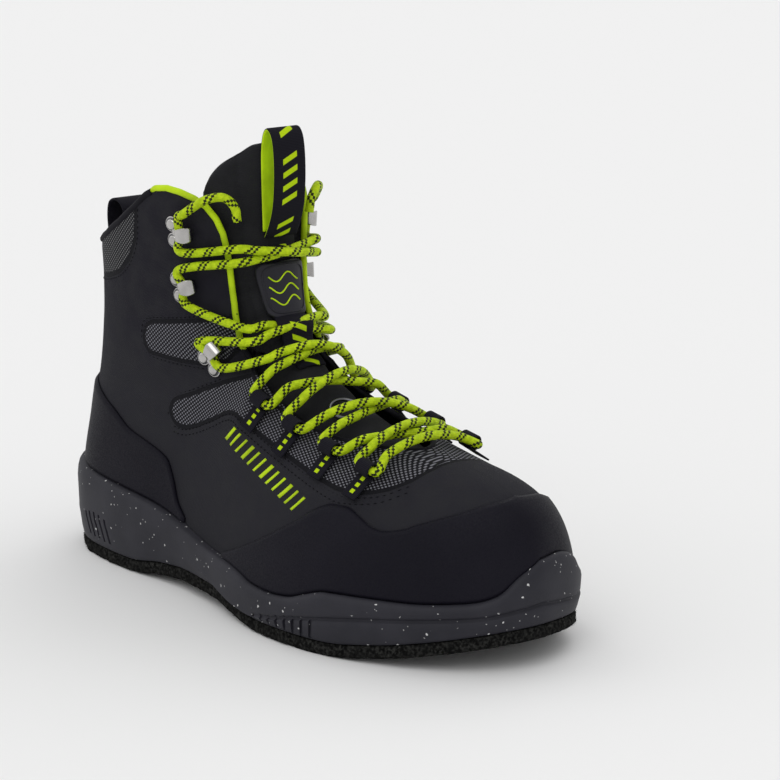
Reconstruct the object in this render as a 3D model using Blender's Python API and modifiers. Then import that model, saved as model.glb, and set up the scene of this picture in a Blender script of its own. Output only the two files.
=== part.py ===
"""A right wading boot: felt outsole, cupped midsole, hollow lace-up upper, tongue, overlays, laces and hooks.

Metres, +Z up, toe towards +X, outer (lateral) side towards -Y. The origin is on the floor under the heel seat.
Tables hold shares of the named sizes: "along" runs from the heel's back (0) to the toe's tip (1).
"""

import math

import bmesh
import bpy
import numpy as np
from mathutils import Matrix, Vector
from mathutils.bvhtree import BVHTree

# Main sizes
LENGTH = 0.310
BALL_WIDTH = 0.1192
HEEL_SEAT = 0.043
UPPER_HEIGHT = 0.195
TOE_BOX_HEIGHT = 0.084
SHAFT_WIDTH = 0.084
GAP = 0.0003

# Sole
FELT = 0.006
ARCH_RISE = 0.0048
TOE_SPRING = 0.0137
HEEL_DECK = 0.017
BALL_DECK = 0.009
RIM_HEIGHT = 0.050
RIM_WALL = 0.004
RIM_FLARE = 0.0025
CUP_CLEARANCE = 0.0011
GROOVE_WIDTH = 0.0026
GROOVE_DEPTH = 0.0010
RIB_WIDTH = 0.0016
RIB_DEPTH = 0.0011
INSOLE = 0.004

# Upper
WALL = 0.0025
OVERLAY = 0.0012
OVERLAY_LIFT = 0.0008
RIM_CLEARANCE = 0.0020
TONGUE = 0.0045
TONGUE_CLEARANCE = 0.0018
TONGUE_EDGE_DROP = 0.0026

# Webbing, lace and metal
WEBBING = 0.0012
STRAP_WIDTH = 0.018
HEEL_LOOP_WIDTH = 0.020
BADGE = 0.0022
LOOP_WEBBING = 0.0009
LOOP_WIDTH = 0.0066
LOOP_TAIL = 0.008
LACE = 0.0042
LACE_CLEARANCE = 0.0007
HOOK_SHEET = 0.0010
HOOK_HEIGHT = 0.0068
HOOK_PLATE_RADIUS = 0.0037
RIVET_RADIUS = 0.0026
RING_RADIUS = 0.0068
RING_WIRE = 0.0008

LATERAL = -1
MEDIAL = 1
UP = np.array([0.0, 0.0, 1.0])
AHEAD = np.array([1.0, 0.0, 0.0])
ACROSS = np.array([0.0, 1.0, 0.0])

# The sole's outline from below, as a closed loop: along, across (share of the ball width, + is medial).
SOLE_PLAN = [
    (0.000, 0.000), (0.028, -0.197), (0.094, -0.317), (0.175, -0.354), (0.261, -0.356), (0.366, -0.345),
    (0.470, -0.378), (0.560, -0.423), (0.660, -0.442), (0.760, -0.409), (0.860, -0.308), (0.926, -0.205),
    (0.978, -0.060), (1.000, 0.110), (0.978, 0.318), (0.926, 0.462), (0.860, 0.534), (0.760, 0.572),
    (0.660, 0.538), (0.560, 0.437), (0.479, 0.341), (0.405, 0.305), (0.330, 0.335), (0.245, 0.365),
    (0.161, 0.351), (0.094, 0.308), (0.028, 0.197),
]
# The felt's underside: along, share of the arch rise, share of the toe spring.
SOLE_LINE = [
    (0.00, 0.00, 0.0), (0.24, 0.00, 0.0), (0.32, 0.70, 0.0), (0.40, 1.00, 0.0), (0.49, 0.95, 0.0),
    (0.57, 0.30, 0.0), (0.62, 0.00, 0.0), (0.76, 0.00, 0.0), (0.84, 0.00, 0.20), (0.92, 0.00, 0.56), (1.00, 0.00, 1.0),
]
# The front of the closed form, up the vamp and the shin. Height: 0 to 1 is the toe box's, 1 to 2 the rest.
FRONT_RIDGE = [
    (0.10, 0.995), (0.42, 0.995), (0.58, 0.994), (0.70, 0.989), (0.79, 0.977), (0.87, 0.955), (0.93, 0.922),
    (0.975, 0.872), (1.005, 0.815), (1.040, 0.755), (1.085, 0.697), (1.135, 0.645), (1.200, 0.594),
    (1.279, 0.545), (1.369, 0.507), (1.505, 0.481), (1.685, 0.470), (2.000, 0.466),
]
# Level sections of the shaft and the heel: height (share of the upper's), back, widest and front along,
# the lateral and medial half widths (shares of the width), and how far the width follows the shaft, not the heel.
SHAFT = [
    (0.05, 0.014, 0.155, 0.387, 0.452, 0.452, 0.0), (0.23, 0.021, 0.160, 0.410, 0.440, 0.440, 0.0),
    (0.36, 0.036, 0.176, 0.435, 0.415, 0.420, 0.5), (0.51, 0.050, 0.200, 0.480, 0.405, 0.415, 1.0),
    (0.62, 0.053, 0.220, 0.530, 0.408, 0.418, 1.0), (0.70, 0.053, 0.230, 0.560, 0.412, 0.420, 1.0),
    (0.82, 0.049, 0.245, 0.560, 0.435, 0.440, 1.0), (1.00, 0.043, 0.258, 0.560, 0.475, 0.480, 1.0),
]
# The throat's and the collar's edge, from the throat's toe end to the heel: share around, share of the height.
TOP_EDGE = [
    (0.000, 0.445), (0.060, 0.446), (0.119, 0.447), (0.172, 0.450), (0.208, 0.455), (0.236, 0.463),
    (0.255, 0.476), (0.268, 0.498), (0.270, 0.528), (0.257, 0.569), (0.236, 0.626), (0.214, 0.708),
    (0.205, 0.785), (0.205, 0.831), (0.213, 0.877), (0.230, 0.912), (0.257, 0.940), (0.292, 0.958),
    (0.333, 0.970), (0.375, 0.976), (0.413, 0.972), (0.450, 0.955), (0.504, 0.918), (0.581, 0.872),
    (0.671, 0.830), (0.753, 0.803), (0.861, 0.788), (1.000, 0.785),
]
# The midsole's rim: share around from the toe's tip to the heel's back, lateral and medial height.
RIM = [
    (0.000, 0.99, 0.99), (0.050, 0.86, 1.00), (0.090, 0.70, 0.94), (0.120, 0.65, 0.80), (0.170, 0.62, 0.68),
    (0.220, 0.60, 0.62), (0.280, 0.592, 0.60), (0.325, 0.580, 0.58), (0.350, 0.520, 0.52), (0.375, 0.452, 0.46),
    (0.405, 0.430, 0.44), (0.435, 0.445, 0.455), (0.460, 0.500, 0.50), (0.480, 0.530, 0.53), (0.515, 0.545, 0.55),
    (0.570, 0.624, 0.65), (0.600, 0.690, 0.71), (0.650, 0.768, 0.78), (0.720, 0.824, 0.83), (0.800, 0.870, 0.87),
    (0.900, 0.900, 0.90), (1.000, 0.900, 0.90),
]
# The groove along the midsole's side: share around, height, share of the depth.
GROOVE = [
    (0.000, 0.600, 1.0), (0.060, 0.560, 1.0), (0.110, 0.515, 1.0), (0.170, 0.485, 1.0), (0.235, 0.440, 1.0),
    (0.295, 0.385, 1.0), (0.355, 0.300, 1.0), (0.400, 0.215, 1.0), (0.430, 0.185, 0.0), (0.600, 0.420, 0.0),
    (1.000, 0.420, 0.0),
]
# The midsole's outer wall from the felt up: share of the height, share of the flare.
RIM_WALL_LINE = [(0.00, -0.20), (0.10, 0.35), (0.78, 1.00), (0.94, 0.65), (1.00, -0.30)]
GROOVE_FLARE = 0.85
# Ribs cut into the midsole's side: share around, foot and head (shares of the rim's height), lean.
RIBS = [
    (0.340, 0.14, 0.34, 0.18), (0.352, 0.13, 0.33, 0.18), (0.364, 0.12, 0.31, 0.18), (0.376, 0.11, 0.29, 0.18),
    (0.388, 0.11, 0.27, 0.18), (0.400, 0.10, 0.24, 0.18), (0.412, 0.10, 0.22, 0.18), (0.424, 0.10, 0.20, 0.18),
    (0.712, 0.20, 0.44, -0.30), (0.726, 0.20, 0.46, -0.30), (0.740, 0.21, 0.47, -0.30), (0.754, 0.21, 0.46, -0.30),
    (0.768, 0.22, 0.44, -0.30),
]
# Upper edges of the overlays: share around, share of the toe box's height.
RAND_EDGE = [
    (0.500, 0.340), (0.463, 0.425), (0.420, 0.545), (0.385, 0.660), (0.360, 0.743), (0.339, 0.775),
    (0.322, 0.775), (0.302, 0.737), (0.287, 0.704), (0.272, 0.692), (0.245, 0.712), (0.223, 0.745),
    (0.167, 0.805), (0.090, 0.861), (0.000, 0.886),
]
COUNTER_EDGE = [
    (0.585, 0.420), (0.600, 0.490), (0.613, 0.615), (0.629, 0.721), (0.659, 0.774), (0.705, 0.827),
    (0.749, 0.921), (0.826, 1.010), (1.000, 1.050),
]
# How the foot's upright sections change: along, roundness of the top, share of the sole's width, drift to medial.
FOOT = [
    (0.00, 1.9, 0.72, 0.000), (0.20, 1.9, 0.82, 0.000), (0.42, 1.9, 1.00, 0.000), (0.60, 1.9, 1.00, 0.012),
    (0.75, 2.2, 1.00, 0.045), (0.88, 2.6, 1.00, 0.085), (1.00, 3.0, 1.00, 0.110),
]
SHAFT_ROUNDNESS = 2.15
INSTEP_TOP = 0.66
BLEND = 6.0
HEEL_TO_BALL = 0.7047


def follow(table, value, column):
    """Reads a column of a table where its first column has the value, along a smooth curve through the rows."""
    at = np.array([row[0] for row in table])
    y = np.array([row[column] for row in table])
    step = np.diff(at)
    slope = np.diff(y) / step
    tangent = np.empty(len(at))
    tangent[0], tangent[-1] = slope[0], slope[-1]
    for i in range(1, len(at) - 1):
        flat = slope[i - 1] * slope[i] <= 0
        tangent[i] = 0.0 if flat else 2 * slope[i - 1] * slope[i] / (slope[i - 1] + slope[i])
    value = np.clip(value, at[0], at[-1])
    i = np.clip(np.searchsorted(at, value) - 1, 0, len(step) - 1)
    t = (value - at[i]) / step[i]
    rise = y[i] * (1 + 2 * t) * (1 - t) ** 2 + y[i + 1] * t * t * (3 - 2 * t)
    return rise + step[i] * (tangent[i] * t * (1 - t) ** 2 - tangent[i + 1] * t * t * (1 - t))


def closed_curve(points, steps=24):
    """A smooth closed line through the points."""
    points = np.array(points, float)
    made = []
    count = len(points)
    for i in range(count):
        p0, p1, p2, p3 = (points[(i + k) % count] for k in (-1, 0, 1, 2))
        for t in np.arange(steps) / steps:
            made.append(
                0.5 * (2 * p1 + (p2 - p0) * t + (2 * p0 - 5 * p1 + 4 * p2 - p3) * t**2
                       + (3 * p1 - p0 - 3 * p2 + p3) * t**3)
            )
    return np.array(made)


def along_to_x(along):
    return along * LENGTH - HEEL_SEAT


def x_to_along(x):
    return (x + HEEL_SEAT) / LENGTH


SOLE_LOOP = closed_curve(SOLE_PLAN) * [LENGTH, BALL_WIDTH] - [HEEL_SEAT, 0]


def plan_sides(inset):
    """The sole's outline moved inwards, as two lines from heel to toe: {side: (x, y)}."""
    ahead = np.roll(SOLE_LOOP, -1, axis=0) - np.roll(SOLE_LOOP, 1, axis=0)
    outward = np.stack([ahead[:, 1], -ahead[:, 0]], 1)
    outward /= -np.linalg.norm(outward, axis=1)[:, None]
    middle = SOLE_LOOP.mean(axis=0)
    if ((SOLE_LOOP - middle) * outward).sum() < 0:
        outward = -outward
    loop = SOLE_LOOP - outward * inset
    heel, toe = loop[:, 0].argmin(), loop[:, 0].argmax()
    first = np.roll(loop, -heel, axis=0)
    split = (toe - heel) % len(loop)
    lateral = first[: split + 1]
    medial = np.vstack([first[split:], first[:1]])[::-1]
    return {LATERAL: lateral.T, MEDIAL: medial.T}


FEATHER = plan_sides(RIM_WALL - RIM_FLARE)


def ridge_height(share):
    share = np.asarray(share, float)
    above = np.clip(share - 1, 0, 1) * (UPPER_HEIGHT - TOE_BOX_HEIGHT)
    return np.clip(share, 0, 1) * TOE_BOX_HEIGHT + above


RIDGE_SHARES = np.linspace(FRONT_RIDGE[0][0], 2.0, 600)
RIDGE_Z = ridge_height(RIDGE_SHARES)
RIDGE_X = along_to_x(follow(FRONT_RIDGE, RIDGE_SHARES, 1))


def front_x(z):
    """Where the form's front is at a height."""
    return np.interp(z, RIDGE_Z, RIDGE_X)


def ridge_z(x):
    """How high the form's ridge is at a place along the foot."""
    return np.interp(-np.asarray(x), -RIDGE_X, RIDGE_Z)


def shaft_size(z, column, scale, offset=0.0):
    return follow(SHAFT, z / UPPER_HEIGHT, column) * scale - offset


def back_x(z):
    return shaft_size(z, 1, LENGTH, HEEL_SEAT)


def centre_y(x):
    return follow(FOOT, x_to_along(x), 3) * BALL_WIDTH


def half_width(side, x, z):
    """How far the form reaches from its centre line, on one side, at x and height z."""
    plan_x, plan_y = FEATHER[side]
    along = x_to_along(x)
    reach = np.interp(x, plan_x, plan_y) - centre_y(x)
    foot = np.abs(reach) * follow(FOOT, along, 2)
    feather_z = RIDGE_Z[0]
    top = np.minimum(ridge_z(x), INSTEP_TOP * UPPER_HEIGHT)
    rise = np.clip((z - feather_z) / np.maximum(top - feather_z, 1e-6), 0, 1)
    foot = foot * np.sqrt(np.maximum(1 - rise ** follow(FOOT, along, 1), 0))
    widest = shaft_size(z, 2, LENGTH, HEEL_SEAT)
    end = np.where(x < widest, back_x(z), np.minimum(front_x(z), shaft_size(z, 3, LENGTH, HEEL_SEAT)))
    share = np.clip(np.abs((x - widest) / (end - widest)), 0, 1)
    heel = HEEL_TO_BALL * BALL_WIDTH
    girth = heel + (SHAFT_WIDTH - heel) * shaft_size(z, 6, 1.0)
    width = shaft_size(z, 4 if side == LATERAL else 5, girth)
    shaft = width * np.maximum(1 - share**SHAFT_ROUNDNESS, 0) ** (1 / SHAFT_ROUNDNESS)
    return (foot**BLEND + shaft**BLEND) ** (1 / BLEND)


def form_point(side, turn, z, out=0.0):
    """A point of the form: turn is 0 at the front and pi at the back. out moves it off the surface."""
    back, front = back_x(z), front_x(z)
    x = back + (front - back) * (1 + np.cos(turn)) / 2
    y = centre_y(x) + side * half_width(side, x, z)
    point = np.array([x, y, z], float)
    if out:
        point = point + form_normal(side, turn, z) * out
    return point


def form_normal(side, turn, z):
    small = 0.02
    t0, t1 = max(turn - small, 1e-4), min(turn + small, math.pi - 1e-4)
    around = form_point(side, t1, z) - form_point(side, t0, z)
    up = form_point(side, turn, z + 0.001) - form_point(side, turn, z - 0.001)
    normal = np.cross(around, up) * side
    return normal / np.linalg.norm(normal)


def ridge_frame(height):
    """The ridge's point at a height and its outward normal, both in the plane y = 0."""
    step = 0.0015
    ahead = front_x(height + step) - front_x(height - step)
    normal = np.array([2 * step, 0.0, -ahead])
    normal = normal / np.linalg.norm(normal)
    return np.array([front_x(height), 0.0, height]), normal


def instep_point(height, across, out=0.0):
    """A point over the instep or the shin, across from the ridge at a height: lateral is negative."""
    ridge, normal = ridge_frame(height)
    side = LATERAL if across < 0 else MEDIAL
    near, far = 0.0, SHAFT_WIDTH / 2
    for _ in range(26):
        middle = (near + far) / 2
        x, z = ridge[0] - normal[0] * middle, ridge[2] - normal[2] * middle
        if half_width(side, x, z) < abs(across):
            near = middle
        else:
            far = middle
    point = np.array([x, centre_y(x) + across, z])
    if out:
        small = 0.001
        down = instep_point(height - small, across) - instep_point(height + small, across)
        wide = instep_point(height, across + small) - instep_point(height, across - small)
        lift = np.cross(down, wide)
        point = point + lift / np.linalg.norm(lift) * out
    return point


def sole_z(x):
    along = x_to_along(x)
    return follow(SOLE_LINE, along, 1) * ARCH_RISE + follow(SOLE_LINE, along, 2) * TOE_SPRING


def deck_z(x):
    """The cup's floor, which the upper and the insole stand on."""
    share = np.clip((x_to_along(x) - 0.25) / 0.37, 0, 1)
    share = share * share * (3 - 2 * share)
    return sole_z(x) + FELT + HEEL_DECK + (BALL_DECK - HEEL_DECK) * share


def around(count):
    """Shares from the toe's tip (0) to the heel's back (1)."""
    return np.arange(count + 1) / count


def outline_point(side, share, offset, z):
    """A point of the sole's outline, moved outwards."""
    x, y = plan_sides(-offset)[side]
    at = x[0] + (x[-1] - x[0]) * (1 + math.cos(math.pi * share)) / 2
    return np.array([at, np.interp(at, x, y), z])


def turn_at(x, z):
    """The turn at which the form has the given x at a height."""
    back, front = back_x(z), front_x(z)
    return np.arccos(np.clip(2 * (x - back) / (front - back) - 1, -1, 1))


def even_line(points, shares):
    """Reads a line of points at shares of its length."""
    points = np.array(points, float)
    step = np.linalg.norm(np.diff(points, axis=0), axis=1)
    reach = np.concatenate([[0], np.cumsum(step)])
    reach /= reach[-1]
    return np.stack([np.interp(shares, reach, points[:, k]) for k in range(points.shape[1])], 1)


def new_material(name, colour, roughness, metallic=0.0):
    material = bpy.data.materials.new(name)
    material.use_nodes = True
    shader = material.node_tree.nodes["Principled BSDF"]
    shader.inputs["Base Color"].default_value = (*colour, 1)
    shader.inputs["Roughness"].default_value = roughness
    shader.inputs["Metallic"].default_value = metallic
    material.diffuse_color = (*colour, 1)
    return material


def new_object(name, mesh, material, collection):
    made = bpy.data.objects.new(name, mesh)
    collection.objects.link(made)
    if material is not None:
        mesh.materials.append(material)
    return made


def mesh_from(name, points, faces, smooth=True):
    """A mesh of the points and faces, with its faces turned outwards."""
    mesh = bpy.data.meshes.new(name)
    mesh.from_pydata([tuple(p) for p in points], [], faces)
    work = bmesh.new()
    work.from_mesh(mesh)
    bmesh.ops.remove_doubles(work, verts=work.verts, dist=0.00001)
    bmesh.ops.recalc_face_normals(work, faces=work.faces)
    if work.calc_volume(signed=True) < 0:
        bmesh.ops.reverse_faces(work, faces=work.faces)
    work.to_mesh(mesh)
    work.free()
    if smooth:
        mesh.shade_smooth()
        mesh.set_sharp_from_angle(angle=math.radians(40))
    return mesh


def grid_faces(rows, columns, closed):
    """Quads of a grid of points, rows by columns."""
    faces = []
    for i in range(rows - 1):
        for j in range(columns if closed else columns - 1):
            k = (j + 1) % columns
            faces.append((i * columns + j, i * columns + k, (i + 1) * columns + k, (i + 1) * columns + j))
    return faces


def skin(name, grid, thickness, material, collection, closed=False, outward=True):
    """A surface through rows of points, given a thickness on its outer or inner side."""
    rows, columns = len(grid), len(grid[0])
    points = [p for row in grid for p in row]
    faces = grid_faces(rows, columns, closed)
    mesh = bpy.data.meshes.new(name)
    mesh.from_pydata([tuple(p) for p in points], [], faces)
    work = bmesh.new()
    work.from_mesh(mesh)
    bmesh.ops.remove_doubles(work, verts=work.verts, dist=0.00001)
    work.to_mesh(mesh)
    work.free()
    mesh.shade_smooth()
    made = new_object(name, mesh, material, collection)
    solid = made.modifiers.new("Thickness", "SOLIDIFY")
    solid.thickness = thickness
    solid.offset = 1 if outward else -1
    solid.use_quality_normals = True
    return made


def ring_solid(name, levels, material, collection):
    """A solid through level loops, closed by strips across the first and the last loop."""
    size = len(levels[0])
    half = size // 2
    points = [p for level in levels for p in level]
    faces = grid_faces(len(levels), size, True)
    for base in (0, (len(levels) - 1) * size):
        for j in range(half):
            left, right = base + j, base + (size - j) % size
            faces.append((left, base + j + 1, base + (size - j - 1) % size, right))
    clean = [tuple(dict.fromkeys(face)) for face in faces]
    return new_object(name, mesh_from(name, points, clean), material, collection)


def loop_of(count, point):
    """A closed loop: the lateral side from toe to heel, then the medial side back."""
    shares = around(count)
    lateral = [point(LATERAL, s) for s in shares]
    medial = [point(MEDIAL, s) for s in shares[1:-1][::-1]]
    return lateral + medial


def profile_solid(name, outline, width, frame, material, collection):
    """A flat outline (ahead, out) extruded across a frame (origin, ahead, across, out)."""
    origin, ahead, across, out = frame
    half = width / 2
    points = [origin + ahead * a + out * o + across * s for s in (-half, half) for a, o in outline]
    size = len(outline)
    faces = [tuple(range(size)), tuple(range(size, 2 * size))]
    faces += [(j, (j + 1) % size, size + (j + 1) % size, size + j) for j in range(size)]
    return new_object(name, mesh_from(name, points, faces), material, collection)


def strip_outline(path, thickness):
    """The outline of a strip of even thickness along a path of (ahead, out) points."""
    path = np.array(path, float)
    along = np.gradient(path, axis=0)
    along /= np.linalg.norm(along, axis=1)[:, None]
    normal = np.stack([-along[:, 1], along[:, 0]], 1) * thickness / 2
    return list(path + normal) + list((path - normal)[::-1])


def smooth_line(points, count):
    """A smooth open line through the points, read at even shares of its length."""
    points = np.array(points, float)
    padded = np.vstack([2 * points[0] - points[1], points, 2 * points[-1] - points[-2]])
    made = []
    for i in range(len(points) - 1):
        p0, p1, p2, p3 = padded[i : i + 4]
        for t in np.arange(12) / 12:
            made.append(
                0.5 * (2 * p1 + (p2 - p0) * t + (2 * p0 - 5 * p1 + 4 * p2 - p3) * t**2
                       + (3 * p1 - p0 - 3 * p2 + p3) * t**3)
            )
    made.append(points[-1])
    return even_line(made, np.linspace(0, 1, count))


def cord(name, points, diameter, material, collection, resolution=1):
    """A round cord along the points."""
    curve = bpy.data.curves.new(name, "CURVE")
    curve.dimensions = "3D"
    spline = curve.splines.new("POLY")
    spline.points.add(len(points) - 1)
    for node, point in zip(spline.points, points):
        node.co = (*point, 1)
    curve.bevel_depth = diameter / 2
    curve.bevel_resolution = resolution
    curve.use_fill_caps = True
    made = bpy.data.objects.new(name, curve)
    collection.objects.link(made)
    curve.materials.append(material)
    return made


def solid_cord(name, points, diameter):
    """A round cord as a mesh, ready to be joined."""
    curve = cord(name, points, diameter, LIME, BOOT)
    bpy.context.view_layer.update()
    graph = bpy.context.evaluated_depsgraph_get()
    mesh = bpy.data.meshes.new_from_object(curve.evaluated_get(graph))
    bpy.data.objects.remove(curve)
    return new_object(name, mesh, None, BOOT)


def form_frame(side, x, z, out):
    """A frame on the upper: origin, towards the throat, up along the surface, outwards."""
    turn = turn_at(x, z)
    normal = form_normal(side, turn, z)
    rise = form_point(side, turn, z + 0.001) - form_point(side, turn, z - 0.001)
    up = rise - normal * (rise @ normal)
    up /= np.linalg.norm(up)
    ahead = np.cross(up, normal) * -side
    if ahead[0] < 0:
        ahead = -ahead
    return form_point(side, turn, z, out), ahead, up, normal


# The tongue: height of its bottom, and its outline as share of the upper's height and half width (share of the shaft's).
TONGUE_BOTTOM = 0.437
TONGUE_WIDTH = [(0.437, 0.18), (0.51, 0.275), (0.60, 0.305), (0.75, 0.345), (0.90, 0.375), (1.09, 0.395)]
TONGUE_TOP = [(0.00, 1.095), (0.35, 1.090), (0.60, 1.068), (0.80, 1.045), (0.94, 1.010), (1.00, 0.970)]
# The badge: height and half width (shares of the upper's height and of the strap's width).
BADGE_OUTLINE = [
    (0.684, 0.30), (0.689, 0.52), (0.699, 0.62), (0.745, 0.70), (0.790, 0.76), (0.803, 0.74), (0.810, 0.64),
    (0.813, 0.45),
]
STRAP_ENDS = (0.590, 0.850)
# The pull loop, as seen from the side: height (share of the upper's), distance off the tongue (share of the loop's).
PULL_LOOP = [
    (0.885, 0.00), (0.950, 0.00), (1.020, 0.00), (1.080, 0.02), (1.118, 0.20), (1.130, 0.50), (1.112, 0.84),
    (1.070, 1.00), (1.010, 1.02), (0.950, 0.86), (0.905, 0.52), (0.872, 0.14),
]
PULL_LOOP_REACH = 0.0095
# The heel loop over the collar's back: height (share of the upper's), share of its depth ahead of the outer leg.
HEEL_LOOP = [
    (0.690, 0.00), (0.740, 0.00), (0.790, -0.04), (0.840, -0.06), (0.872, 0.06), (0.884, 0.35), (0.882, 0.68),
    (0.862, 0.98), (0.820, 1.02), (0.770, 0.80), (0.735, 0.62),
]
HEEL_LOOP_REACH = 0.0135
# Lace stations down each side: hooks as along and height, loops as height of the ridge and distance across.
HOOKS = [(0.3510, 0.876), (0.3500, 0.742), (0.4080, 0.574)]
LOOPS = [(0.572, 0.320), (0.521, 0.320), (0.4790, 0.320), (0.4490, 0.320)]


for old in list(bpy.data.objects):
    bpy.data.objects.remove(old)

BOOT = bpy.data.collections.new("wading_boot")
bpy.context.scene.collection.children.link(BOOT)
CUTTERS = bpy.data.collections.new("cutters")
bpy.context.scene.collection.children.link(CUTTERS)

FELT_GREY = new_material("felt", (0.016, 0.016, 0.016), 1.0)
FOAM = new_material("midsole_rubber", (0.026, 0.025, 0.033), 0.72)
CLOTH = new_material("quarter_cloth", (0.022, 0.022, 0.028), 0.85)
COATED = new_material("coated_cloth", (0.010, 0.009, 0.015), 0.70)
PADDING = new_material("tongue_cloth", (0.014, 0.014, 0.016), 0.80)
WEB = new_material("webbing", (0.012, 0.012, 0.018), 0.80)
BADGE_RUBBER = new_material("badge_rubber", (0.016, 0.015, 0.025), 0.45)
LIME = new_material("lace_cord", (0.36, 0.58, 0.0), 0.65)
STEEL = new_material("nickel", (0.72, 0.71, 0.70), 0.22, 1.0)
INNER = new_material("insole_cloth", (0.018, 0.018, 0.022), 0.85)

SOLE_STEPS = 40
felt_levels = [
    loop_of(SOLE_STEPS, lambda side, s, lift=lift: outline_point(side, s, 0, 0) + [0, 0, lift])
    for lift in (0, FELT)
]
for level in felt_levels:
    for point in level:
        point[2] += sole_z(point[0])
ring_solid("felt_outsole", felt_levels, FELT_GREY, BOOT)


def rim_z(side, share):
    return follow(RIM, share, 1 if side == LATERAL else 2) * RIM_HEIGHT


def midsole_wall(rise, flare):
    def point(side, share):
        made = outline_point(side, share, flare * RIM_FLARE, 0)
        foot = sole_z(made[0]) + FELT + GAP
        made[2] = foot + rise * (rim_z(side, share) - foot)
        return made

    return point


def groove_wall(lift, depth):
    def point(side, share):
        deep = depth * follow(GROOVE, share, 2) * GROOVE_DEPTH
        made = outline_point(side, share, GROOVE_FLARE * RIM_FLARE - deep, 0)
        made[2] = follow(GROOVE, share, 1) * RIM_HEIGHT + lift * GROOVE_WIDTH
        return made

    return point


def cup_wall(rise):
    def point(side, share):
        turn = math.pi * share
        rim = rim_z(side, share)
        floor = deck_z(form_point(side, turn, rim)[0])
        z = floor + rise * (rim - floor)
        made = form_point(side, turn, z, CUP_CLEARANCE)
        made[2] = z if rise > 0 else deck_z(made[0])
        return made

    return point


walls = [
    midsole_wall(*RIM_WALL_LINE[0]), midsole_wall(*RIM_WALL_LINE[1]), groove_wall(-0.5, 0), groove_wall(0.0, 1),
    groove_wall(0.5, 0), midsole_wall(*RIM_WALL_LINE[2]), midsole_wall(*RIM_WALL_LINE[3]),
    midsole_wall(*RIM_WALL_LINE[4]), cup_wall(1), cup_wall(0.5), cup_wall(0),
]
midsole = ring_solid("midsole", [loop_of(SOLE_STEPS, wall) for wall in walls], FOAM, BOOT)


def wall_offset(side, share, z):
    """How far the midsole's wall stands off the sole's outline below its groove."""
    foot = sole_z(outline_point(side, share, 0, 0)[0]) + FELT + GAP
    low = foot + RIM_WALL_LINE[1][0] * (rim_z(side, share) - foot)
    groove = follow(GROOVE, share, 1) * RIM_HEIGHT
    return np.interp(z, (low, groove), (RIM_WALL_LINE[1][1] * RIM_FLARE, GROOVE_FLARE * RIM_FLARE))


def rib_corners(side, share, foot, head, lean):
    """The corners of a leaning bar let into the midsole's wall."""
    ahead = outline_point(side, share - 0.01, 0, 0) - outline_point(side, share + 0.01, 0, 0)
    ahead /= np.linalg.norm(ahead)
    out = np.array([-ahead[1], ahead[0], 0.0]) * (side if ahead[0] > 0 else -side)
    base = outline_point(side, share, 0, 0)
    corners = []
    for z in (foot * RIM_HEIGHT, head * RIM_HEIGHT):
        middle = base + ahead * lean * (z - foot * RIM_HEIGHT) + UP * z
        inner = wall_offset(side, share, z) - RIB_DEPTH
        for across, deep in ((-0.5, inner), (0.5, inner), (0.5, inner + 4 * RIB_DEPTH), (-0.5, inner + 4 * RIB_DEPTH)):
            corners.append(middle + ahead * across * RIB_WIDTH + out * deep)
    return corners


BOX_FACES = [(0, 1, 2, 3), (4, 5, 6, 7), (0, 1, 5, 4), (1, 2, 6, 5), (2, 3, 7, 6), (3, 0, 4, 7)]
rib_points = []
rib_faces = []
for rib in RIBS:
    for side in (LATERAL, MEDIAL):
        rib_faces += [tuple(len(rib_points) + corner for corner in face) for face in BOX_FACES]
        rib_points += rib_corners(side, *rib)
ribs = new_object("rib_cutters", mesh_from("rib_cutters", rib_points, rib_faces, smooth=False), None, CUTTERS)
ribs.display_type = "WIRE"
ribs.hide_render = True
cut = midsole.modifiers.new("Ribs", "BOOLEAN")
cut.operation = "DIFFERENCE"
cut.solver = "EXACT"
cut.object = ribs

UPPER_STEPS = 32
UPPER_ROWS = 10
EDGE_FAN = 0.7
GIRTH_SHARE = 0.6


def top_edge(share):
    """The turn and the height of the throat's and the collar's edge at a share of its length."""
    rows = [(around_share * GIRTH_SHARE * LENGTH, height * UPPER_HEIGHT) for around_share, height in TOP_EDGE]
    reach, z = even_line(rows, [share])[0]
    return math.pi * reach / (GIRTH_SHARE * LENGTH), z


def upper_point(side, share, rise, out=0.0):
    """A point of the upper: share runs from toe to heel, rise from the cup's floor to the top edge."""
    turn_top, z_top = top_edge(share)
    turn_foot = math.pi * share
    floor = deck_z(form_point(side, turn_foot, FELT + HEEL_DECK)[0])
    foot = form_point(side, turn_foot, floor)
    z_foot = deck_z(foot[0]) + 2 * GAP
    turn = turn_top + (turn_foot - turn_top) * (1 - rise) ** EDGE_FAN
    return form_point(side, turn, z_foot + (z_top - z_foot) * rise, out)


upper_grid = [
    loop_of(UPPER_STEPS, lambda side, s, rise=rise: upper_point(side, s, rise))
    for rise in np.linspace(0, 1, UPPER_ROWS + 1)
]
upper = skin("upper", upper_grid, WALL, CLOTH, BOOT, closed=True, outward=True)

insole_levels = []
for lift in (GAP, GAP + INSOLE):
    def insole_point(side, share, lift=lift):
        turn = math.pi * share
        edge = form_point(side, turn, deck_z(form_point(side, turn, 0.02)[0]) + lift, -(WALL + 2 * CUP_CLEARANCE))
        edge[2] = deck_z(edge[0]) + lift
        return edge

    insole_levels.append(loop_of(SOLE_STEPS, insole_point))
ring_solid("insole", insole_levels, INNER, BOOT)


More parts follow.
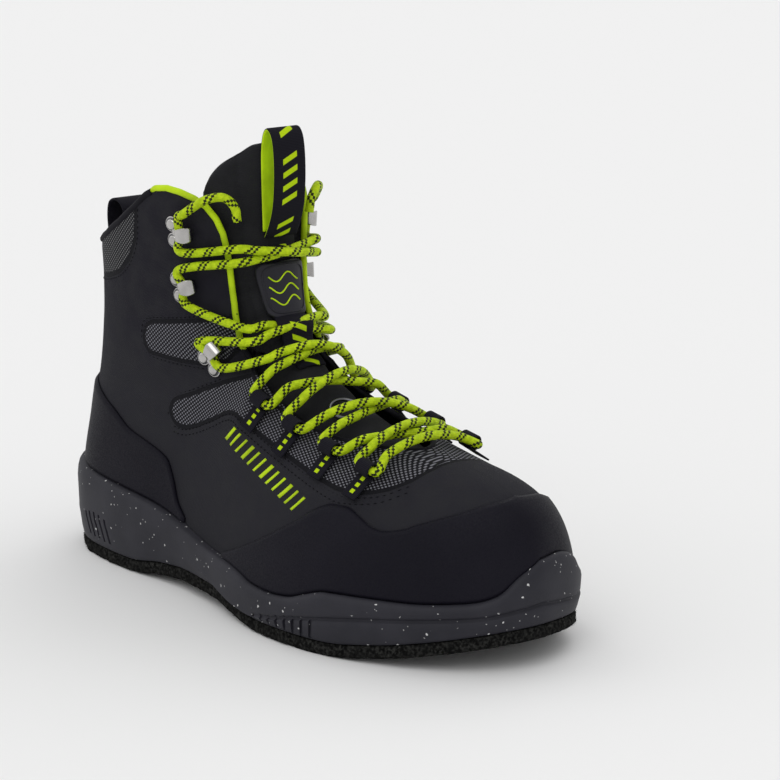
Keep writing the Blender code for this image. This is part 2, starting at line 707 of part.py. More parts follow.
def overlay_grid(edge, rows):
    """Rows of points of an overlay, between the midsole's rim and its upper edge."""
    tip, end = edge[0][0], edge[-1][0]
    table = sorted(edge)
    shares = [share for share in around(SOLE_STEPS) if min(tip, end) <= share <= max(tip, end)]
    if end < tip:
        shares = shares[::-1]
    if abs(shares[0] - tip) > 0.25 / SOLE_STEPS:
        shares = [tip] + shares

    def column(side, share):
        z_top = follow(table, share, 1) * TOE_BOX_HEIGHT
        z_foot = min(rim_z(side, share) + RIM_CLEARANCE, z_top - GAP)
        return [form_point(side, math.pi * share, z, OVERLAY_LIFT) for z in np.linspace(z_foot, z_top, rows + 1)]

    strip = [column(LATERAL, share) for share in shares]
    strip += [column(MEDIAL, share) for share in shares[:-1]][::-1]
    return [[strip[j][i] for j in range(len(strip))] for i in range(rows + 1)]


skin("toe_rand", overlay_grid(RAND_EDGE, 4), OVERLAY, COATED, BOOT, outward=True)
skin("heel_counter", overlay_grid(COUNTER_EDGE, 2), OVERLAY, COATED, BOOT, outward=False)

TONGUE_ROWS = 13
TONGUE_COLUMNS = 8


def tongue_point(rise, cross, out):
    """A point of the tongue: rise from its hidden bottom to its top edge, cross from -1 to 1."""
    bottom = TONGUE_BOTTOM * UPPER_HEIGHT
    top = follow(TONGUE_TOP, abs(cross), 1) * UPPER_HEIGHT
    z = bottom + (top - bottom) * rise
    width = follow(TONGUE_WIDTH, z / UPPER_HEIGHT, 1) * SHAFT_WIDTH
    return instep_point(z, float(cross * width), out - TONGUE_EDGE_DROP * cross**2)


TONGUE_FACE = -(WALL + TONGUE_CLEARANCE)
tongue_grid = [
    [tongue_point(rise, cross, TONGUE_FACE) for cross in np.linspace(-1, 1, TONGUE_COLUMNS + 1)]
    for rise in np.linspace(0, 1, TONGUE_ROWS + 1)
]
skin("tongue", tongue_grid, TONGUE, PADDING, BOOT, outward=False)

STRAP_FACE = TONGUE_FACE + 3 * GAP
strap_grid = [
    [instep_point(z * UPPER_HEIGHT, w * STRAP_WIDTH / 2, STRAP_FACE) for w in (-1, -0.5, 0.0, 0.5, 1)]
    for z in np.linspace(*STRAP_ENDS, 9)
]
skin("tongue_strap", strap_grid, WEBBING, WEB, BOOT, outward=True)

BADGE_FACE = STRAP_FACE + WEBBING + GAP
badge_grid = [
    [instep_point(z * UPPER_HEIGHT, cross * half * STRAP_WIDTH, BADGE_FACE) for cross in np.linspace(-1, 1, 7)]
    for z, half in BADGE_OUTLINE
]
skin("tongue_badge", badge_grid, BADGE, BADGE_RUBBER, BOOT, outward=True)

def ridge_strip(table, reach, lift):
    """A path seen from the side: heights up the ridge, and distances ahead of the tongue's face."""
    made = []
    for height, off in table:
        z = height * UPPER_HEIGHT
        made.append((front_x(z) + TONGUE_FACE + lift + off * reach, z))
    return smooth_line(made, 18)


pull_path = ridge_strip(PULL_LOOP, PULL_LOOP_REACH, GAP + WEBBING / 2)
profile_solid(
    "tongue_pull_loop", strip_outline(pull_path, WEBBING), STRAP_WIDTH,
    (ACROSS * centre_y(front_x(PULL_LOOP[0][0] * UPPER_HEIGHT)), AHEAD, ACROSS, UP), WEB, BOOT,
)

heel_path = []
for height, off in HEEL_LOOP:
    z = height * UPPER_HEIGHT
    heel_path.append((back_x(z) - 2 * GAP - WEBBING / 2 + off * HEEL_LOOP_REACH, z))
profile_solid(
    "heel_pull_loop", strip_outline(smooth_line(heel_path, 17), WEBBING), HEEL_LOOP_WIDTH,
    (ACROSS * 0.0, AHEAD, ACROSS, UP), WEB, BOOT,
)

LACE_LIFT = 5 * GAP + LOOP_WEBBING + LACE_CLEARANCE + LACE / 2


def loop_frame(side, height, across):
    """A lace loop's middle, the ways down the slope, along the edge and outwards, and the lace's two turns."""
    z, w = height * UPPER_HEIGHT, side * across * SHAFT_WIDTH
    here = instep_point(z, w, LACE_LIFT)
    step = 0.001
    pace = instep_point(z + step, w, LACE_LIFT) - instep_point(z - step, w, LACE_LIFT)
    reach = LACE_TURN * 2 * step / np.linalg.norm(pace)
    upper_turn, lower_turn = instep_point(z + reach, w, LACE_LIFT), instep_point(z - reach, w, LACE_LIFT)
    edge = upper_turn - lower_turn
    edge /= np.linalg.norm(edge)
    down = instep_point(z, w + side * 2 * step, LACE_LIFT) - instep_point(z, w - side * 2 * step, LACE_LIFT)
    down -= edge * (edge @ down)
    down /= np.linalg.norm(down)
    out = np.cross(down, edge)
    if out[2] < 0:
        out = -out
    middle = (upper_turn + lower_turn) / 2
    shift = out * max(0.0, (here - middle) @ out)
    return middle + shift, down, edge, out, upper_turn + shift, lower_turn + shift


LACE_PASS = 0.5 * HOOK_HEIGHT + GAP
LACE_TURN = LACE_PASS + LACE
eye = LACE / 2 + LACE_CLEARANCE + LOOP_WEBBING / 2
loop_path = [(eye * math.sin(a), -eye * math.cos(a)) for a in np.radians(np.linspace(40, 360, 10))]
loop_path += [(eye * 0.9 + LOOP_TAIL * t, -eye) for t in (0.15, 1.0)]
loop_outline = strip_outline(loop_path, LOOP_WEBBING)
EYES = {}
for number, (height, across) in enumerate(LOOPS, 1):
    for side, label in ((LATERAL, "lateral"), (MEDIAL, "medial")):
        here, down, edge, out, upper_turn, lower_turn = loop_frame(side, height, across)
        EYES[side, "loop", number] = (upper_turn, lower_turn)
        name = f"lace_loop_{label}_{number}"
        profile_solid(name, loop_outline, LOOP_WIDTH, (here, down, edge, out), WEB, BOOT)


def joined(target, extra):
    """Joins closed solids into the target and removes them."""
    for tool in extra:
        join = target.modifiers.new("Join", "BOOLEAN")
        join.operation = "UNION"
        join.solver = "EXACT"
        join.object = tool
        bpy.context.view_layer.update()
        graph = bpy.context.evaluated_depsgraph_get()
        made = bpy.data.meshes.new_from_object(target.evaluated_get(graph))
        target.modifiers.clear()
        target.data = made
        bpy.data.objects.remove(tool)
    return target


def disc(name, centre, axis, radius, height, sides=8, top=1.0):
    """A short round plug or rivet head along an axis."""
    work = bmesh.new()
    bmesh.ops.create_cone(
        work, cap_ends=True, segments=sides, radius1=radius, radius2=radius * top, depth=height
    )
    turn = Vector((0, 0, 1)).rotation_difference(Vector(axis)).to_matrix().to_4x4()
    bmesh.ops.transform(work, matrix=Matrix.Translation(Vector(centre + axis * height / 2)) @ turn, verts=work.verts)
    mesh = bpy.data.meshes.new(name)
    work.to_mesh(mesh)
    work.free()
    return new_object(name, mesh, None, BOOT)


HOOK_BEND = LACE / 2 + LACE_CLEARANCE + HOOK_SHEET / 2
HOOK_LIFT = GAP
bpy.context.view_layer.update()
upper_mesh = upper.evaluated_get(bpy.context.evaluated_depsgraph_get()).to_mesh()
upper_mesh.calc_loop_triangles()
UPPER_FACES = BVHTree.FromPolygons(
    [v.co.copy() for v in upper_mesh.vertices], [tuple(face.vertices) for face in upper_mesh.loop_triangles]
)
HOOK_NECK = 0.0052


def seated_frame(side, x, z):
    """A hook's frame, moved outwards until the plate and the strip just clear the upper."""
    here, ahead, up, out = form_frame(side, x, z, 0.0)
    tall, wide = 2.05 * HOOK_PLATE_RADIUS, 1.4 * HOOK_PLATE_RADIUS
    rise = 0.0
    for rest in np.linspace(-tall, tall, 15):
        for reach in np.linspace(-wide, HOOK_NECK + HOOK_BEND, 15):
            if reach < 0.6 * HOOK_PLATE_RADIUS or abs(rest) < HOOK_HEIGHT / 2:
                start = here + up * rest + ahead * reach + out * BALL_WIDTH
                hit = UPPER_FACES.ray_cast(Vector(start), Vector(-out))[0]
                if hit is not None:
                    rise = max(rise, (np.array(hit) - here) @ out)
    return here + out * (rise + HOOK_LIFT), ahead, up, out


def speed_hook(name, side, along, height):
    """A hook bent from sheet on a plate with two rivets; its mouth faces the heel."""
    here, ahead, up, out = seated_frame(side, along_to_x(along), height * UPPER_HEIGHT)
    middle = HOOK_SHEET / 2 + HOOK_BEND
    path = [(-0.2 * HOOK_NECK, HOOK_SHEET / 2), (HOOK_NECK, HOOK_SHEET / 2)]
    turns = np.radians(np.linspace(-60, 90, 5))
    path += [(HOOK_NECK + HOOK_BEND * math.cos(a), middle + HOOK_BEND * math.sin(a)) for a in turns]
    path += [(0.35 * HOOK_NECK, middle + 0.92 * HOOK_BEND)]
    hook = profile_solid(name, strip_outline(path, HOOK_SHEET), HOOK_HEIGHT, (here, ahead, up, out), STEEL, BOOT)
    extra = []
    for step in (-1, 1):
        seat = here - ahead * 0.4 * HOOK_PLATE_RADIUS + up * step * 1.05 * HOOK_PLATE_RADIUS
        extra.append(disc("plate", seat + out * 0.08 * HOOK_SHEET, out, HOOK_PLATE_RADIUS, 0.8 * HOOK_SHEET))
        extra.append(disc("rivet", seat + out * 0.2 * HOOK_SHEET, out, RIVET_RADIUS, 1.8 * HOOK_SHEET, top=0.6))
    joined(hook, extra)
    centre = here + ahead * HOOK_NECK + out * middle
    return centre, up, ahead, out


for number, (along, height) in enumerate(HOOKS, 1):
    for side, label in ((LATERAL, "lateral"), (MEDIAL, "medial")):
        EYES[side, "hook", number] = speed_hook(f"speed_hook_{label}_{number}", side, along, height)

# Where two strands of the lace cross over the tongue: height on the ridge, and how far their ends lean from it.
CROSSINGS = [(0.462, 0.0046), (0.4975, 0.0082), (0.549, 0.0118), (0.606, 0.0120), (0.665, 0.0180), (0.836, 0.0166)]
CROSSING_REACH = 0.23
CROSSING_WAY = [(-1.0, 1.0), (-0.46, 0.36), (0.46, 0.36), (1.0, 1.0)]
BAR_HEIGHT = 0.446
# The lace's ends, from the top hook: height on the ridge, distance across, and lift as a share of the strand's.
LACE_END = [(0.935, 0.385, 1.00), (0.968, 0.340, 1.00), (0.975, 0.285, 0.80), (0.950, 0.245, 0.45), (0.915, 0.235, 0.30)]
UNDER_LIFT = STRAP_FACE + WEBBING + LACE / 2 + 4 * GAP
OVER_LIFT = UNDER_LIFT + 0.6 * LACE
EDGE_LIFT = LACE / 2 + 3 * LACE_CLEARANCE + HOOK_SHEET


def over_instep(height, across, lift):
    return instep_point(height * UPPER_HEIGHT, across * SHAFT_WIDTH, lift)


def crossing(name, height, lean):
    """Two strands that cross over the tongue, joined where they meet."""
    strands = []
    for side, lift in ((LATERAL, OVER_LIFT), (MEDIAL, UNDER_LIFT)):
        way = []
        for cross, edge in CROSSING_WAY:
            off = lift + (EDGE_LIFT - lift) * edge
            way.append(over_instep(height + lean * cross, -side * cross * CROSSING_REACH, off))
        strands.append(solid_cord(name, rounded(way), LACE))
    made = joined(strands[0], strands[1:])
    made.name = name
    made.data.materials.clear()
    made.data.materials.append(LIME)


def rounded(way):
    """Cuts each corner of a line once, and keeps its ends."""
    way = np.array(way)
    made = [way[0]]
    for before, corner, after in zip(way[:-2], way[1:-1], way[2:]):
        made += [corner * 0.75 + before * 0.25, corner * 0.75 + after * 0.25]
    return made + [way[-1]]


for number, (height, lean) in enumerate(CROSSINGS, 1):
    crossing(f"lace_crossing_{number}", height, lean)
bar = [over_instep(BAR_HEIGHT, cross * CROSSING_REACH, EDGE_LIFT) for cross in (-1.0, -0.5, 0.0, 0.5, 1.0)]
cord("lace_bar", bar, LACE, LIME, BOOT)

for side, label in ((LATERAL, "lateral"), (MEDIAL, "medial")):
    centre, along = EYES[side, "hook", 1][:2]
    way = [centre - along * LACE_PASS, centre + along * LACE_TURN]
    way += [over_instep(height, side * across, lift * EDGE_LIFT) for height, across, lift in LACE_END]
    cord(f"lace_end_{label}", rounded(way), LACE, LIME, BOOT)

RING_HEIGHT = 0.515
RING_ACROSS = -0.07
ring_seat = over_instep(RING_HEIGHT, RING_ACROSS, TONGUE_FACE + 3 * GAP + RING_WIRE)
ring_axis = over_instep(RING_HEIGHT, RING_ACROSS, TONGUE_FACE + 0.004) - ring_seat
bpy.ops.mesh.primitive_torus_add(
    major_segments=18, minor_segments=5, major_radius=RING_RADIUS, minor_radius=RING_WIRE,
    location=ring_seat, rotation=Vector(ring_axis).to_track_quat("Z", "X").to_euler(),
)
ring = bpy.context.object
ring.name = "gaiter_ring"
ring.data.materials.append(STEEL)
for home in list(ring.users_collection):
    home.objects.unlink(ring)
BOOT.objects.link(ring)
ring.data.shade_smooth()
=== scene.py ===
"""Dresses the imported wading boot: cloth upper with mesh windows, laces, hooks, midsole and felt sole.

Metres, in the frame's axes: +X towards the toe, +Z up, the boot's outer (lateral) side towards -Y.
"""

import math

import bpy
import numpy as np
from mathutils import Matrix, Vector


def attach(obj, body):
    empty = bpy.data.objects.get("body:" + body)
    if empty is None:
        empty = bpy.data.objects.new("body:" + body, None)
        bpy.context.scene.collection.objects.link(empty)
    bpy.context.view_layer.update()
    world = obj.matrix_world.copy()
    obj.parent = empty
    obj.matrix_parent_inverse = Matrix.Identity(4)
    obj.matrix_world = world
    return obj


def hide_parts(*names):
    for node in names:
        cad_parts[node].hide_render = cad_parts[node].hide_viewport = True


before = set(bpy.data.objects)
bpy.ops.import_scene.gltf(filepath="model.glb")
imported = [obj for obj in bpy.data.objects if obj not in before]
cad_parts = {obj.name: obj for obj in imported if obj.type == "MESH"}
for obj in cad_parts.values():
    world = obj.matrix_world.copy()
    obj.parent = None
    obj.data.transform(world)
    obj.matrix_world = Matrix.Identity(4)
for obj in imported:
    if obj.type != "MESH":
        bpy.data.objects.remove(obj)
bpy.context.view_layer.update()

# Camera and stage
CAMERA_PLACE = (1.1201, -0.7584, 0.3940)
CAMERA_AIM = (0.18093, 0.0, 0.11103)
CAMERA_ROLL = math.radians(-0.131)
LENS = 128.207
SENSOR = 36.0
FLOOR_SIZE = 14.0
FLOOR_DROP = -0.0002
FLOOR_COLOUR = (0.86, 0.86, 0.86)
WORLD_STRENGTH = 0.765
# The lights: name, direction that they come from, strength, spread in degrees.
LIGHTS = [
    ("key", (0.9, -1.3, 1.9), 0.55, 40),
    ("fill", (-1.4, -0.8, 1.2), 0.25, 60),
    ("rim", (-0.5, 1.3, 1.6), 0.30, 40),
]

# Sizes of the boot, as in the solids
LENGTH = 0.310
BALL_WIDTH = 0.1192
HEEL_SEAT = 0.043
UPPER_HEIGHT = 0.195
TOE_BOX_HEIGHT = 0.084
SHAFT_WIDTH = 0.084
GAP = 0.0003
FELT = 0.006
ARCH_RISE = 0.0048
TOE_SPRING = 0.0137
HEEL_DECK = 0.017
BALL_DECK = 0.009
RIM_HEIGHT = 0.050
RIM_WALL = 0.004
RIM_FLARE = 0.0025
CUP_CLEARANCE = 0.0011
GROOVE_WIDTH = 0.0026
GROOVE_DEPTH = 0.0010
GROOVE_FLARE = 0.85
RIB_WIDTH = 0.0016
RIB_DEPTH = 0.0011
WALL = 0.0025
OVERLAY = 0.0012
OVERLAY_LIFT = 0.0008
RIM_CLEARANCE = 0.0020
TONGUE = 0.0045
TONGUE_CLEARANCE = 0.0018
TONGUE_EDGE_DROP = 0.0026
WEBBING = 0.0012
STRAP_WIDTH = 0.018
HEEL_LOOP_WIDTH = 0.020
BADGE = 0.0022
LOOP_WEBBING = 0.0009
LACE = 0.0042
LACE_CLEARANCE = 0.0007
HOOK_SHEET = 0.0010
HOOK_HEIGHT = 0.0068
HOOK_PLATE_RADIUS = 0.0037
HOOK_NECK = 0.0052
RIVET_RADIUS = 0.0026
RING_RADIUS = 0.0068
RING_WIRE = 0.0008
RING_PLACE = (0.515, -0.07)
# Sizes of the dressed boot alone
LOOP_WIDTH = 0.0080
LOOP_TAIL = 0.0130
HOOK_REACH = 0.0078
PIPING_RADIUS = 0.00155
PIPING_LIFT = 0.0006
COLLAR_BINDING = 0.0018
THROAT_BINDING = 0.0014
OVERLAY_ROLL = 0.0016
FELT_RAGGED = 0.00022
FIBRE_LENGTH = (0.0005, 0.0014)
FIBRE_WIDTH = 0.00005
STRAP_HUMP = 0.0052

LATERAL = -1
MEDIAL = 1
UP = np.array([0.0, 0.0, 1.0])
AHEAD = np.array([1.0, 0.0, 0.0])
ACROSS = np.array([0.0, 1.0, 0.0])

# The sole's outline from below: along, across (share of the ball width).
SOLE_PLAN = [
    (0, 0), (0.028, -0.197), (0.094, -0.317), (0.175, -0.354), (0.261, -0.356), (0.366, -0.345),
    (0.47, -0.378), (0.56, -0.423), (0.66, -0.442), (0.76, -0.409), (0.86, -0.308), (0.926, -0.205),
    (0.978, -0.06), (1, 0.11), (0.978, 0.318), (0.926, 0.462), (0.86, 0.534), (0.76, 0.572), (0.66, 0.538),
    (0.56, 0.437), (0.479, 0.341), (0.405, 0.305), (0.33, 0.335), (0.245, 0.365), (0.161, 0.351),
    (0.094, 0.308), (0.028, 0.197),
]
# The felt's underside: along, share of the arch rise, share of the toe spring.
SOLE_LINE = [
    (0, 0, 0), (0.24, 0, 0), (0.32, 0.7, 0), (0.4, 1, 0), (0.49, 0.95, 0), (0.57, 0.3, 0), (0.62, 0, 0),
    (0.76, 0, 0), (0.84, 0, 0.2), (0.92, 0, 0.56), (1, 0, 1),
]
# The form's front ridge: height (0 to 1 is the toe box's, 1 to 2 the rest), along.
FRONT_RIDGE = [
    (0.1, 0.995), (0.42, 0.995), (0.58, 0.994), (0.7, 0.989), (0.79, 0.977), (0.87, 0.955), (0.93, 0.922),
    (0.975, 0.872), (1.005, 0.815), (1.04, 0.755), (1.085, 0.697), (1.135, 0.645), (1.2, 0.594),
    (1.279, 0.545), (1.369, 0.507), (1.505, 0.481), (1.685, 0.47), (2, 0.466),
]
# Level sections: height, back, widest and front along, lateral and medial half widths,
# and how far the widths follow the shaft's width and not the heel's.
SHAFT = [
    (0.05, 0.014, 0.155, 0.387, 0.452, 0.452, 0), (0.23, 0.021, 0.16, 0.41, 0.44, 0.44, 0),
    (0.36, 0.036, 0.176, 0.435, 0.415, 0.42, 0.5), (0.51, 0.05, 0.2, 0.48, 0.405, 0.415, 1),
    (0.62, 0.053, 0.22, 0.53, 0.408, 0.418, 1), (0.7, 0.053, 0.23, 0.56, 0.412, 0.42, 1),
    (0.82, 0.049, 0.245, 0.56, 0.435, 0.44, 1), (1, 0.043, 0.258, 0.56, 0.475, 0.48, 1),
]
# The throat's and the collar's edge: share around, share of the upper's height.
TOP_EDGE = [
    (0, 0.445), (0.06, 0.446), (0.119, 0.447), (0.172, 0.45), (0.208, 0.455), (0.236, 0.463),
    (0.255, 0.476), (0.268, 0.498), (0.27, 0.528), (0.257, 0.569), (0.236, 0.626), (0.214, 0.708),
    (0.205, 0.785), (0.205, 0.831), (0.213, 0.877), (0.23, 0.912), (0.257, 0.94), (0.292, 0.958),
    (0.333, 0.97), (0.375, 0.976), (0.413, 0.972), (0.45, 0.955), (0.504, 0.918), (0.581, 0.872),
    (0.671, 0.83), (0.753, 0.803), (0.861, 0.788), (1, 0.785),
]
# The midsole's rim: share around from toe to heel, lateral and medial height.
RIM = [
    (0, 0.99, 0.99), (0.05, 0.86, 1), (0.09, 0.7, 0.94), (0.12, 0.65, 0.8), (0.17, 0.62, 0.68),
    (0.22, 0.6, 0.62), (0.28, 0.592, 0.6), (0.325, 0.58, 0.58), (0.35, 0.52, 0.52), (0.375, 0.452, 0.46),
    (0.405, 0.43, 0.44), (0.435, 0.445, 0.455), (0.46, 0.5, 0.5), (0.48, 0.53, 0.53), (0.515, 0.545, 0.55),
    (0.57, 0.624, 0.65), (0.6, 0.69, 0.71), (0.65, 0.768, 0.78), (0.72, 0.824, 0.83), (0.8, 0.87, 0.87),
    (0.9, 0.9, 0.9), (1, 0.9, 0.9),
]
# The groove along the midsole's side: share around, height, share of the depth.
GROOVE = [
    (0, 0.6, 1), (0.06, 0.56, 1), (0.11, 0.515, 1), (0.17, 0.485, 1), (0.235, 0.44, 1), (0.295, 0.385, 1),
    (0.355, 0.3, 1), (0.4, 0.215, 1), (0.43, 0.185, 0), (0.6, 0.42, 0), (1, 0.42, 0),
]
# Ribs cut into the midsole's side: share around, foot and head (shares of the rim's height), lean.
RIBS = [
    (0.34, 0.14, 0.34, 0.18), (0.352, 0.13, 0.33, 0.18), (0.364, 0.12, 0.31, 0.18),
    (0.376, 0.11, 0.29, 0.18), (0.388, 0.11, 0.27, 0.18), (0.4, 0.1, 0.24, 0.18), (0.412, 0.1, 0.22, 0.18),
    (0.424, 0.1, 0.2, 0.18), (0.712, 0.2, 0.44, -0.3), (0.726, 0.2, 0.46, -0.3), (0.74, 0.21, 0.47, -0.3),
    (0.754, 0.21, 0.46, -0.3), (0.768, 0.22, 0.44, -0.3),
]
# Upper edges of the overlays: share around, share of the toe box's height.
RAND_EDGE = [
    (0.5, 0.34), (0.463, 0.425), (0.42, 0.545), (0.385, 0.66), (0.36, 0.743), (0.339, 0.775),
    (0.322, 0.775), (0.302, 0.737), (0.287, 0.704), (0.272, 0.692), (0.245, 0.712), (0.223, 0.745),
    (0.167, 0.805), (0.09, 0.861), (0, 0.886),
]
COUNTER_EDGE = [
    (0.585, 0.42), (0.6, 0.49), (0.613, 0.615), (0.629, 0.721), (0.659, 0.774), (0.705, 0.827),
    (0.749, 0.921), (0.826, 1.01), (1, 1.05),
]
# How the foot's sections change: along, roundness of the top, share of the sole's width, drift to medial.
FOOT = [
    (0, 1.9, 0.72, 0), (0.2, 1.9, 0.82, 0), (0.42, 1.9, 1, 0), (0.6, 1.9, 1, 0.012), (0.75, 2.2, 1, 0.045),
    (0.88, 2.6, 1, 0.085), (1, 3, 1, 0.11),
]
# The felt's side: share of its thickness, how far inside the outline.
FELT_SIDE = [
    (0, 0.0009), (0.1, 0.0002), (0.3, -0.0001), (0.55, -0.0001), (0.8, 0), (0.95, 0.0003), (1, 0.0008),
]
# How the foot and the shaft become one form
SHAFT_ROUNDNESS = 2.15
INSTEP_TOP = 0.66
BLEND = 6.0
HEEL_TO_BALL = 0.7047
EDGE_FAN = 0.7
GIRTH_SHARE = 0.6
# A tapered cord's thickness at its very end, as a share.
BLUNT_END = math.sqrt(0.02)

# The tongue: half width (share of the shaft's) by height, and the height of its top edge by share across.
TONGUE_BOTTOM = 0.437
TONGUE_WIDTH = [(0.437, 0.18), (0.51, 0.275), (0.6, 0.305), (0.75, 0.345), (0.9, 0.375), (1.09, 0.395)]
TONGUE_TOP = [(0, 1.095), (0.35, 1.09), (0.6, 1.068), (0.8, 1.045), (0.94, 1.01), (1, 0.97)]
# The badge: height, half width (share of the strap's width). Its rim is a rounded square.
BADGE_OUTLINE = [
    (0.684, 0.3), (0.689, 0.52), (0.699, 0.62), (0.745, 0.7), (0.79, 0.76), (0.803, 0.74), (0.81, 0.64),
    (0.813, 0.45),
]
BADGE_SQUARENESS = 0.42
BADGE_RIM_SHARE = (0.84, 0.86)
BADGE_RIM_RADIUS = 0.00045
BADGE_WAVE_RADIUS = 0.00036
BADGE_WAVE_ENDS = (-0.0088, 0.0068)
BADGE_WAVE_HALF = 0.0078
BADGE_WAVE_PITCH = 0.028
# Heights on the tongue, as shares of the upper's: the strap's ends and the folds. The seams: share across.
STRAP_ENDS = (0.590, 0.850)
TONGUE_FOLDS = (0.53, 0.575, 0.63, 0.70, 0.76)
TONGUE_SEAM = 0.62
# The pull loops, seen from the side: height (share of the upper's), share of the loop's reach.
PULL_LOOP = [
    (0.885, 0), (0.95, 0), (1.02, 0), (1.08, 0.02), (1.118, 0.2), (1.13, 0.5), (1.112, 0.84), (1.07, 1),
    (1.01, 1.02), (0.95, 0.86), (0.905, 0.52), (0.872, 0.14),
]
PULL_LOOP_REACH = 0.0095
HEEL_LOOP = [
    (0.69, 0), (0.74, 0), (0.79, -0.04), (0.84, -0.06), (0.872, 0.06), (0.884, 0.35), (0.882, 0.68),
    (0.862, 0.98), (0.82, 1.02), (0.77, 0.8), (0.735, 0.62),
]
HEEL_LOOP_REACH = 0.0135
# Lace stations: hooks as along and height, loops as height of the ridge and distance across.
HOOKS = [(0.351, 0.876), (0.35, 0.742), (0.408, 0.574)]
LOOPS = [(0.572, 0.32), (0.521, 0.32), (0.479, 0.32), (0.449, 0.32)]
# Turned parts of a hook: radius, height.
HOOK_PLATE = [
    (r * HOOK_PLATE_RADIUS, h * 0.8 * HOOK_SHEET)
    for r, h in ((0, 0), (0.96, 0), (1, 0.15), (1, 0.75), (0.95, 0.95), (0, 1))
]
RIVET_DOME = [
    (r * RIVET_RADIUS, (0.75 + h * 1.1) * HOOK_SHEET)
    for r, h in ((0, 0), (1, 0), (1, 0.45), (0.94, 0.75), (0.8, 1), (0.55, 1.2), (0.28, 1.3), (0.05, 1.33))
]
# A thin dark disc round each rivet's foot, just above the plate: painted shade in the crevice between rivet
# and plate.
RIVET_SHADE_DISC = [
    (0.5 * RIVET_RADIUS, 0.8 * HOOK_SHEET), (RIVET_RADIUS + 0.0006, 0.8 * HOOK_SHEET),
    (RIVET_RADIUS + 0.0006, 0.8 * HOOK_SHEET + 0.0001), (0.5 * RIVET_RADIUS, 0.8 * HOOK_SHEET + 0.0001),
]
# The lace's way up: kind and number of its stations.
STATIONS = [("loop", 4), ("loop", 3), ("loop", 2), ("loop", 1), ("hook", 3), ("hook", 2), ("hook", 1)]
# Where two strands cross over the tongue: height on the ridge, how far their ends lean from it.
CROSSINGS = [
    (0.462, 0.0046), (0.4975, 0.0082), (0.549, 0.0118), (0.606, 0.012), (0.665, 0.018), (0.836, 0.0166),
]
CROSSING_REACH = 0.23
STRAND_STEPS = (1.0, 0.72, 0.42, 0.14, -0.14, -0.42, -0.72, -1.0)
UNDER_STRAP = 4
BAR_HEIGHT = 0.446
# The lace's ends, from the top hook: height on the ridge, distance across, share of the strand's lift.
LACE_END = [
    (0.935, 0.385, 1), (0.968, 0.34, 1), (0.975, 0.285, 0.8), (0.95, 0.245, 0.45), (0.915, 0.235, 0.3),
]

# Mesh windows in the upper, seen from the side, in millimetres from the heel's back and the floor.
UPPER_WINDOW = [
    (84, 110.6), (81, 113.5), (80.3, 117.5), (81.6, 121.2), (86, 123.5), (100, 125.5), (118, 128.5),
    (139, 132), (142, 121), (134, 113.5), (124, 110.2), (104, 109.6),
]
LOWER_WINDOW = [
    (100.5, 83.2), (101.2, 86.8), (104.5, 89.4), (112, 92), (125, 97.6), (137.5, 102.7), (152, 107.5),
    (175, 118), (262, 118), (258.5, 88), (257, 82.5), (254, 78), (248, 74.6), (241.4, 72.6), (233, 71.7),
    (225.7, 71.8), (207.6, 75.7), (183, 82.4), (165, 87.6), (158, 89.8), (148, 92.5), (140.5, 90.7),
    (132.4, 86.7), (120, 81.2), (112, 78.6), (106.5, 78.2), (102.6, 79.8),
]
COLLAR_WINDOW = [
    (-10, 139), (32, 139.6), (48, 142.6), (60, 146.5), (70, 154), (76.6, 164), (79.6, 178), (80, 205),
    (-10, 205),
]


# Reading the tables and the form


def follow(table, value, column):
    """Reads a column of a table where its first column has the value, along a smooth curve."""
    at = np.array([row[0] for row in table])
    y = np.array([row[column] for row in table])
    step = np.diff(at)
    slope = np.diff(y) / step
    tangent = np.empty(len(at))
    tangent[0], tangent[-1] = slope[0], slope[-1]
    for i in range(1, len(at) - 1):
        flat = slope[i - 1] * slope[i] <= 0
        tangent[i] = 0.0 if flat else 2 * slope[i - 1] * slope[i] / (slope[i - 1] + slope[i])
    value = np.clip(value, at[0], at[-1])
    i = np.clip(np.searchsorted(at, value) - 1, 0, len(step) - 1)
    t = (value - at[i]) / step[i]
    rise = y[i] * (1 + 2 * t) * (1 - t) ** 2 + y[i + 1] * t * t * (3 - 2 * t)
    return rise + step[i] * (tangent[i] * t * (1 - t) ** 2 - tangent[i + 1] * t * t * (1 - t))


def catmull(p0, p1, p2, p3, t):
    square, cube = 2 * p0 - 5 * p1 + 4 * p2 - p3, 3 * p1 - p0 - 3 * p2 + p3
    return 0.5 * (2 * p1 + (p2 - p0) * t + square * t**2 + cube * t**3)


def closed_curve(points, steps=24):
    """A smooth closed line through the points."""
    points = np.array(points, float)
    count = len(points)
    made = []
    for i in range(count):
        corners = [points[(i + k) % count] for k in (-1, 0, 1, 2)]
        made += [catmull(*corners, t) for t in np.arange(steps) / steps]
    return np.array(made)


def steps(points):
    """The lengths of a line's pieces."""
    return np.linalg.norm(np.diff(points, axis=0), axis=1)


def reach_along(points):
    """The length of a line up to each of its points."""
    return np.concatenate([[0], np.cumsum(steps(points))])


def rolled(share):
    """A quarter circle's rise from 0 to 1."""
    return np.sqrt(1 - (1 - np.clip(share, 0, 1)) ** 2)


def eased(share):
    """0 to 1 with level ends."""
    share = np.clip(share, 0, 1)
    return share * share * (3 - 2 * share)


def even_line(points, shares):
    """Reads a line of points at shares of its length."""
    points = np.array(points, float)
    reach = reach_along(points)
    reach /= reach[-1]
    return np.stack([np.interp(shares, reach, points[:, k]) for k in range(points.shape[1])], -1)


def smooth_line(points, count):
    """A smooth open line through the points, read at even shares of its length."""
    points = np.array(points, float)
    padded = np.vstack([2 * points[0] - points[1], points, 2 * points[-1] - points[-2]])
    made = []
    for i in range(len(points) - 1):
        made += [catmull(*padded[i : i + 4], t) for t in np.arange(16) / 16]
    made.append(points[-1])
    return even_line(made, np.linspace(0, 1, count))


